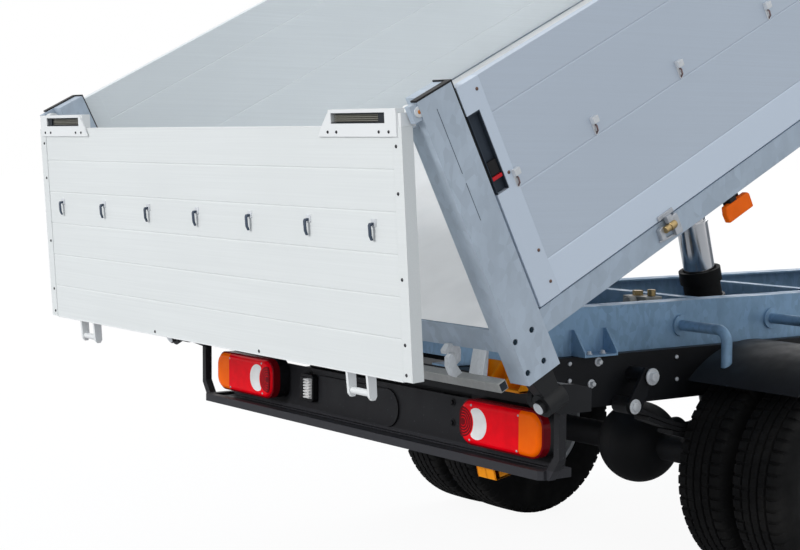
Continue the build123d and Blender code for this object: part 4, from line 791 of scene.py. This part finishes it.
# Rope hooks of a side board: a square head, a plate and a bent wire
def board_hooks(hand, sign):
    body = f"side_board_{hand}"
    seats = Shape(BED)
    clips = Shape(BED)
    for y in ROPE_HOOKS:
        seats.box(across(sign, PLANK_FACE, PLANK_FACE + 14), (y - 11, y + 9), (624, 642))
        seats.prism(HOOK_PLATE, 0, across(sign, PLANK_FACE, PLANK_FACE + 3), (y, 0))
        clips.wire([(sign * (PLANK_FACE + out), y + along, up) for out, along, up in HOOK_WIRE], 2.4)
    seats.done(f"board_hook_seats_{hand}", body, "zinc_white", "galvanised", soft=0.6)
    clips.done(f"board_hooks_{hand}", body, "hook_copper", "chrome")


# Hinges of a side board: straps and knuckles on the board, clasps and pins on the bed
def board_hinges(hand, sign):
    body = f"side_board_{hand}"
    replaced = f"board_hinges_{hand}"
    straps, knuckles, clasps, pins = [Shape(BED) for made in range(4)]
    wide = across(sign, EDGE_FACE, EDGE_FACE + 13)
    thin = across(sign, EDGE_FACE, EDGE_FACE + 5)
    for y in BOARD_HINGES:
        straps.box(across(sign, PLANK_FACE, PLANK_FACE + 5), (y - 30, y + 30), (288, 300))
        straps.box(across(sign, PLANK_FACE + 1, PLANK_FACE + 17), (y - 9, y + 9), (271, 292))
        for outline, x in ((CLASP_BACK, wide), (CLASP_FRONT, wide), (CLASP_FOOT, thin)):
            clasps.prism(outline, 0, x, (y, 0))
        for shape, start, end, radius in ((knuckles, -9, 9, 12), (pins, -14, -9.5, 10), (pins, 9.5, 28, 10)):
            ends = [(sign * HINGE_X, y + along, HINGE_UP) for along in (start, end)]
            shape.rod(*ends, radius, 24, 1)
    straps.done(f"board_straps_{hand}", body, "zinc", "galvanised", replaces=replaced, soft=1.0)
    knuckles.done(f"board_knuckles_{hand}", body, "brass", "chrome", replaces=replaced)
    clasps.done(f"board_clasps_{hand}", "bed", "zinc", "galvanised", soft=1.2)
    pins.done(f"board_clasp_pins_{hand}", "bed", "brass", "chrome")


for hand, sign in HANDS:
    board_latch(hand, sign)
    board_hooks(hand, sign)
    board_hinges(hand, sign)

LOCK_TABS = ((64, 216), (74, 216), (115, 165), (112, 165), (112, 146), (104, 150))  # along, up
LOCK_LEVER = ((116, 160), (136, 160), (150, 176), (150, 204), (140, 224), (126, 228), (118, 216), (124, 196))
LOCK_FORK = (
    (56, 216), (56, 192), (70, 166), (98, 162), (106, 168), (90, 174), (80, 182), (80, 196), (90, 203),
    (106, 207), (104, 217), (84, 226), (74, 222),
)

# Tailgate lock: a square shaft on sloping tabs, with a lever and a fork for each loop of the gate
shaft = Shape(BED)
# Dark squares on the shaft's ends: painted shade inside its hollow bores
bores = Shape(BED)
arms = Shape(BED)
shaft.box((-1008, 1008), (112, 139), (138, 165))
for sign in SIDES:
    bores.box(across(sign, 1007, 1008.6), (115, 136), (141, 162))
    arms.prism(LOCK_TABS, 0, across(sign, 862, 918))
    arms.prism(LOCK_LEVER, 0, across(sign, 822, 838))
    arms.prism(LOCK_FORK, 0, across(sign, 758, 778))
shaft.done("lock_shaft", "bed", "zinc_grey", "galvanised", replaces="gate_lock", soft=2.0)
bores.done("lock_shaft_bore_shade", "bed", "window_dark", "trim_black", replaces="gate_lock")
arms.done("lock_arms", "bed", "zinc_white", "galvanised", replaces="gate_lock", soft=2.0)

CHOCK_RIB = 7
LOW_CHOCK = (  # outlines along and up: its ribs, its back wall, its sloping floor
    ((2380, 480), (2505, 480), (2495, 440), (2385, 464)),
    ((2490, 480), (2505, 480), (2495, 440), (2480, 444)),
    ((2384, 471), (2496, 447), (2495, 440), (2385, 464)),
)
HIGH_CHOCK = (
    ((2462, 702), (2528, 702), (2528, 712), (2482, 772), (2462, 772)),
    ((2462, 702), (2528, 702), (2528, 709), (2462, 709)),
    ((2462, 702), (2470, 702), (2470, 772), (2462, 772)),
)


# Wheel chock: a ribbed wedge with two walls
def wheel_chock(name, outlines, ribs, low, high):
    chock = Shape()
    for index in range(ribs):
        x = low + index * (high - low - CHOCK_RIB) / (ribs - 1)
        chock.prism(outlines[0], 0, (x, x + CHOCK_RIB))
    for wall in outlines[1:]:
        chock.prism(wall, 0, (low, high))
    chock.done(name, "chassis", "chock_orange", replaces="wheel_chocks", soft=1.5)


wheel_chock("chock_low", LOW_CHOCK, 3, -664, -582)
wheel_chock("chock_high", HIGH_CHOCK, 4, -800, -588)

MARKERS = (-798, -2300)
MARKER_LENS = ((-52, 150), (50, 150), (52, 176), (46, 197), (-46, 197), (-52, 190))  # along, up
MARKER_NECK = ((-4, 196), (24, 196), (20, 216), (0, 216))

# Marker lamps with their rubber straps
lenses = Shape(BED)
straps = Shape(BED)
for sign in SIDES:
    for y in MARKERS:
        lenses.prism(MARKER_LENS, 0, across(sign, 1013, 1033), (y, 0))
        straps.box(across(sign, 1006, 1013), (y - 30, y + 30), (150, 215))
        straps.prism(MARKER_NECK, 0, across(sign, 1013, 1030), (y, 0))
replaced = "side_markers"
lenses.done("marker_lenses", "bed", "marker_orange", replaces=replaced, soft=3.0)
straps.done("marker_straps", "bed", "trim_black", replaces=replaced, soft=1.0)

# Bright end caps of the hinge lugs
caps = Shape(BED)
for sign in SIDES:
    caps.rod((sign * 985, 36, 26), (sign * 985, 39.5, 26), 16.5, 28, 1.2)
caps.done("lug_caps", "bed", "zinc_white", "chrome")

RAIL_FACE = 430
RIVETS = (  # along, up
    (2025, 710), (2025, 658), (1575, 701), (1573, 630), (2121, 692), (1300, 701), (1300, 630), (900, 701),
)
CHASSIS_BOLTS = (  # place on the right or left, way, then radius, height and washer
    ((RAIL_FACE, 1908, 708), (1, 0), (9, 12, 3)),
    ((RAIL_FACE, 1935, 642), (1, 0), (9, 12, 3)),
    ((517, 1831, 573), (1, 0), (15, 5, 1)),
    ((525, 1770, 662), (1, 0), (17, 14, 4)),
    ((436, 1895, 734), (0, 1), (7, 8, 2)),
    ((436, 1951, 734), (0, 1), (7, 8, 2)),
)

# Chassis: rivets of the rails, bolts of the pivot beam, shackle pins and nuts
studs = Shape()
for sign in SIDES:
    for y, z in RIVETS:
        studs.rod((sign * (RAIL_FACE - 1), y, z), (sign * (RAIL_FACE + 7), y, z), 6.5, 14, 2)
    for (x, y, z), (outward, up), sizes in CHASSIS_BOLTS:
        studs.bolt((sign * x, y, z), (sign * outward, 0, up), *sizes)
studs.done("chassis_studs", "chassis", "zinc_white", "chrome")

# Bolt heads on the feet of the bumper's uprights
bolts = Shape()
for sign in SIDES:
    for z in (560, 620):
        bolts.bolt((sign * 380, 2430, z), (0, 1, 0), 8, 6, 2)
bolts.done("bumper_bolts", "chassis", "trim_black", "chassis_black")

RAM_PIPE = (
    (-135, 1380, 835), (-135, 1330, 835), (-150, 1280, 820), (-190, 1150, 800), (-210, 1040, 760),
    (-200, 1020, 700), (-170, 1010, 660),
)
PUMP_PIPE = (
    (-110, 1480, 838), (-110, 1540, 838), (-140, 1600, 830), (-240, 1640, 800), (-330, 1660, 780),
)

# Hydraulics between the rails: a valve block with unions and rigid pipes to the ram's foot
valve = Shape()
valve.box((-190, -80), (1405, 1480), (800, 868))
valve.rod((-135, 1400, 835), (-135, 1376, 835), 16, 6)
valve.rod((-135, 1480, 850), (-135, 1515, 850), 18, 20, 2)
valve.done("valve_block", "chassis", "zinc_warm", "galvanised", soft=2.0)
unions = Shape()
unions.rod((-165, 1430, 868), (-165, 1430, 890), 14, 20, 2)
unions.rod((-110, 1440, 868), (-110, 1440, 884), 18, 6)
unions.done("valve_unions", "chassis", "brass", "chrome")
pipes = Shape()
pipes.wire(RAM_PIPE, 8, 14)
pipes.wire(PUMP_PIPE, 7, 14)
pipes.done("hydraulic_pipes", "chassis", "zinc", "chrome")

# Cab trim: outlines are thrown onto the cab along these ways
FRONT = (0, 1, 0)
BACK = (0, -1, 0)
FAR = 5000
NUDGES = (0, 1, -1, 3, -3, 8, -8)  # a ray on the joint of two pieces moves aside a little
CORNER_STEPS = 4
SEAL_PITCH = 45.0
SCREEN = ((-860, 1340), (860, 1340), (770, 2060), (-770, 2060))
REAR_WINDOW = ((-560, 1480), (560, 1480), (540, 1960), (-540, 1960))
DOOR_WINDOW = ((-2140, 1320), (-1240, 1320), (-1240, 1985), (-1800, 1985))
HEADLAMP = ((500, 690), (900, 740), (900, 925), (500, 890))
GRILLE = ((-430, 670), (430, 670), (430, 900), (-430, 900))
DOOR_HANDLE = (
    (1034, -1235, 1195), (1050, -1245, 1196), (1054, -1290, 1197), (1052, -1345, 1197), (1034, -1360, 1196),
)
BOWLS = ((590, 800, 66), (722, 815, 58))  # across, up, radius
WIPERS = ((-560, (-60, 1790)), (60, (560, 1790)))  # pivot across, tip across and up
WIPER_PIVOT_UP = 1352
BLADE_DROP = 22


# A skin made of the named nodes, in millimetres, onto which points are thrown
def skin_of(*names):
    points, faces = [], []
    for name in names:
        mesh = frame["nodes"][name].data
        first = len(points)
        points += [vert.co / MM for vert in mesh.vertices]
        faces += [[first + index for index in face.vertices] for face in mesh.polygons]
    return BVHTree.FromPolygons(points, faces)


CAB = skin_of("cab_shell", "cab_glass", "bonnet", "grille", "headlamps", "door_left", "door_right",
              "door_glass_left", "door_glass_right")


# The place on the cab that a point meets along a way, lifted off it
def thrown(point, way, lift=0.0):
    way = Vector(way)
    start = Vector(point) - way * FAR
    place = None
    for nudge in NUDGES:
        place = place or CAB.ray_cast(start + Vector((nudge * way.y, nudge * way.x, nudge)), way)[0]
    return place - way * lift


# A point with a zero put in for the axis along which it is thrown
def flat_point(first, second, way):
    return (0, first, second) if way[0] else (first, 0, second)


# Points along a closed outline with rounded corners, every few centimetres
def rounded_outline(corners, radius):
    points = []
    for index, corner in enumerate(corners):
        here = Vector(corner)
        following = Vector(corners[(index + 1) % len(corners)])
        before = (Vector(corners[index - 1]) - here).normalized()
        after = (following - here).normalized()
        reach = radius / math.tan(before.angle(after) / 2)
        start, end = here + before * reach, here + after * reach
        for step in range(CORNER_STEPS + 1):
            share = step / CORNER_STEPS
            points.append(start.lerp(here, share).lerp(here.lerp(end, share), share))
        target = following - after * reach
        steps = max(1, int((target - end).length / SEAL_PITCH))
        points += [end.lerp(target, step / steps) for step in range(1, steps)]
    return points


# A rubber seal or a frame round an outline with rounded corners
def seal(name, corners, rounding, way, radius, body):
    outline = rounded_outline(corners, rounding)
    loop = [thrown(flat_point(*point, way), way, radius * 0.2) for point in outline]
    piece = Shape()
    piece.wire(loop + loop[:2], radius, 10)
    bmesh.ops.remove_doubles(piece.mesh, verts=piece.mesh.verts, dist=0.01)
    piece.done(name, body, "trim_black")


# A thin plate that follows the cab, over a range of two axes, with its face a little inside its foot
def fitted_plate(shape, way, low, high, rise, steps=(10, 3)):
    grids = []
    for lift, inset in ((-2.0, 0.0), (rise, 2.0)):
        wide = high[0] - low[0] - 2 * inset
        tall = high[1] - low[1] - 2 * inset
        rows = []
        for row in range(steps[1] + 1):
            line = []
            for column in range(steps[0] + 1):
                first = low[0] + inset + wide * column / steps[0]
                second = low[1] + inset + tall * row / steps[1]
                line.append(thrown(flat_point(first, second, way), way, lift))
            rows.append(line)
        grids.append(rows)
    shape.rings([[*under, *over[::-1]] for under, over in zip(*grids)])


# Rings in a headlamp, round its two bowls
def headlamp_bowls(hand, sign):
    bowls = Shape()
    turns = [2 * math.pi * step / 32 for step in range(33)]
    for x, z, radius in BOWLS:
        for share, wire in ((1.0, 5), (0.55, 3)):
            reach = radius * share
            ring = [(sign * x + reach * math.cos(turn), 0, z + reach * math.sin(turn)) for turn in turns]
            bowls.wire([thrown(point, FRONT, 0.5) for point in ring], wire, 8)
    bowls.done(f"headlamp_bowls_{hand}", "chassis", "chrome")


# Trim of one side: handle, mirror glass, window seal, headlamp rim, moulding, indicators and lamp bowls
def side_trim(hand, sign):
    inward = (-sign, 0, 0)
    door = f"door_{hand}"
    handle = Shape()
    handle.wire([(sign * x, y, z) for x, y, z in DOOR_HANDLE], 9, 14)
    handle.done(f"door_handle_{hand}", door, "trim_black")
    glass = Shape()
    near, far = across(sign, 1082, 1213)
    glass.prism([(near, 1352), (far, 1352), (far, 1638), (near, 1638)], 1, (-2041, -2038.5))
    glass.done(f"mirror_glass_{hand}", door, "mirror", "chrome", soft=1.0)
    seal(f"door_window_seal_{hand}", DOOR_WINDOW, 20, inward, 8, door)
    seal(f"headlamp_rim_{hand}", [(sign * x, z) for x, z in HEADLAMP][::sign], 42, FRONT, 6, "chassis")
    moulding = Shape()
    fitted_plate(moulding, inward, (-1990, 705), (-1175, 752), 7)
    moulding.done(f"door_moulding_{hand}", door, "trim_black")
    indicators = Shape()
    near, far = across(sign, 800, 880)
    fitted_plate(indicators, inward, (-2335, 1010), (-2275, 1040), 8, (6, 3))
    fitted_plate(indicators, FRONT, (near, 775), (far, 895), 4, (6, 6))
    indicators.done(f"indicators_{hand}", "chassis", "lamp_amber", "marker_orange")
    headlamp_bowls(hand, sign)


def wipers():
    shape = Shape()
    for pivot_x, (tip_x, tip_up) in WIPERS:

        # The place on the screen at a share of the wiper's length
        def screen_place(share, drop, lift):
            x = pivot_x + (tip_x - pivot_x) * share
            up = WIPER_PIVOT_UP + (tip_up - WIPER_PIVOT_UP) * share - drop
            return thrown((x, 0, up), FRONT, lift)

        shape.lathe(screen_place(0, 0, 6), (0, -0.55, 0.83), [(0, 16), (14, 15), (20, 8)], 18)
        arm = ((0, 14), (0.25, 18), (0.5, 18), (0.75, 18))
        shape.wire([screen_place(share, 0, lift) for share, lift in arm], 6, 8)
        blade = (0.32, 0.5, 0.68, 0.86, 1.0)
        shape.wire([screen_place(share, BLADE_DROP, 7) for share in blade], 5, 6)
    shape.done("wipers", "chassis", "trim_black")


seal("windscreen_seal", SCREEN, 72, FRONT, 11, "chassis")
seal("rear_window_seal", REAR_WINDOW, 62, BACK, 9, "chassis")
seal("grille_frame", GRILLE, 24, FRONT, 8, "chassis")
for hand, sign in HANDS:
    side_trim(hand, sign)
wipers()

FLOOR_COLOR = (0.55, 0.55, 0.56, 1)
FLOOR_HALF = 60
FLOOR_GLOW = 1.09
FLOOR_GLOW_SHARE = 0.85
SKY_COLOR = (0.88, 0.94, 1.0, 1)
SKY_STRENGTH = 0.56
SUNS = (  # name, direction to it, strength, angle in degrees
    ("key", (0.05, 1.0, 0.34), 1.55, 16.0),
    ("front_fill", (0.3, -1.0, 0.6), 0.9, 60.0),
    ("side_fill", (-1.0, 0.1, 0.7), 0.28, 60.0),
)
CAMERA_PLACE = (-4.439, 5.569, 1.377)
CAMERA_YAW = 35.97  # clockwise from the vehicle's left, seen from above
CAMERA_PITCH = 4.3
CAMERA_ROLL = 0.3
CAMERA_LENS = 79.74


# Feeds the output with two shaders, mixed by a share
def mix_shaders(tree, share, first, second, target):
    both = add_node(tree, "ShaderNodeMixShader", Fac=share)
    feed(both.inputs[1], first.outputs[0])
    feed(both.inputs[2], second.outputs[0])
    feed(tree.nodes[target].inputs["Surface"], both.outputs[0])


# Pale floor: the camera sees mostly its white glow, and with it the shadow on its surface
def lay_floor():
    white = bpy.data.materials.new("floor_white")
    white.use_nodes = True
    tree = white.node_tree
    surface = feed_node(tree.nodes["Principled BSDF"], Base_Color=FLOOR_COLOR, Roughness=0.9)
    glow = add_node(tree, "ShaderNodeEmission", Strength=FLOOR_GLOW)
    rays = add_node(tree, "ShaderNodeLightPath")
    seen = add_node(tree, "ShaderNodeMath", Value=rays.outputs["Is Camera Ray"])
    seen.operation = "MULTIPLY"
    seen.inputs[1].default_value = FLOOR_GLOW_SHARE
    mix_shaders(tree, seen.outputs[0], surface, glow, "Material Output")
    grid = bmesh.new()
    bmesh.ops.create_grid(grid, x_segments=1, y_segments=1, size=FLOOR_HALF)
    ground = bpy.data.meshes.new("floor")
    grid.to_mesh(ground)
    grid.free()
    ground.materials.append(white)
    floor = bpy.data.objects.new("floor", ground)
    bpy.context.scene.collection.objects.link(floor)
    floor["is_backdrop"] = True


# World: soft daylight on the object, and white where it is seen, mirrored or seen through glass
def light_world():
    world = bpy.data.worlds.new("daylight")
    bpy.context.scene.world = world
    world.use_nodes = True
    tree = world.node_tree
    sky = feed_node(tree.nodes["Background"], Color=SKY_COLOR, Strength=SKY_STRENGTH)
    white = add_node(tree, "ShaderNodeBackground", Color=(1, 1, 1, 1))
    rays = add_node(tree, "ShaderNodeLightPath").outputs
    seen = rays["Is Camera Ray"]
    for ray in ("Is Glossy Ray", "Is Transmission Ray"):
        either = add_node(tree, "ShaderNodeMath", Value=seen)
        either.operation = "MAXIMUM"
        feed(either.inputs[1], rays[ray])
        seen = either.outputs[0]
    mix_shaders(tree, seen, sky, white, "World Output")


def set_suns():
    for name, direction, strength, spread in SUNS:
        lamp = bpy.data.lights.new(name, "SUN")
        lamp.energy = strength
        lamp.angle = math.radians(spread)
        made = bpy.data.objects.new(name, lamp)
        made.rotation_euler = Vector(direction).to_track_quat("Z", "Y").to_euler()
        bpy.context.scene.collection.objects.link(made)


# The photograph's camera
def photo_camera():
    data = bpy.data.cameras.new("photo")
    data.lens = CAMERA_LENS
    data.sensor_width = 36
    data.sensor_fit = "HORIZONTAL"
    data.clip_end = 200
    made = bpy.data.objects.new("photo", data)
    yaw = Matrix.Rotation(-math.radians(90 + CAMERA_YAW), 4, "Z")
    pitch = Matrix.Rotation(math.radians(90 - CAMERA_PITCH), 4, "X")
    roll = Matrix.Rotation(math.radians(CAMERA_ROLL), 4, "Z")
    made.matrix_world = Matrix.Translation(CAMERA_PLACE) @ yaw @ pitch @ roll
    bpy.context.scene.collection.objects.link(made)
    bpy.context.scene.camera = made


lay_floor()
light_world()
set_suns()
photo_camera()
bpy.context.scene.view_settings.view_transform = "Standard"

sizes = {"cad": [list(corner) for corner in cad_box], "visual": [list(corner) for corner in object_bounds()]}
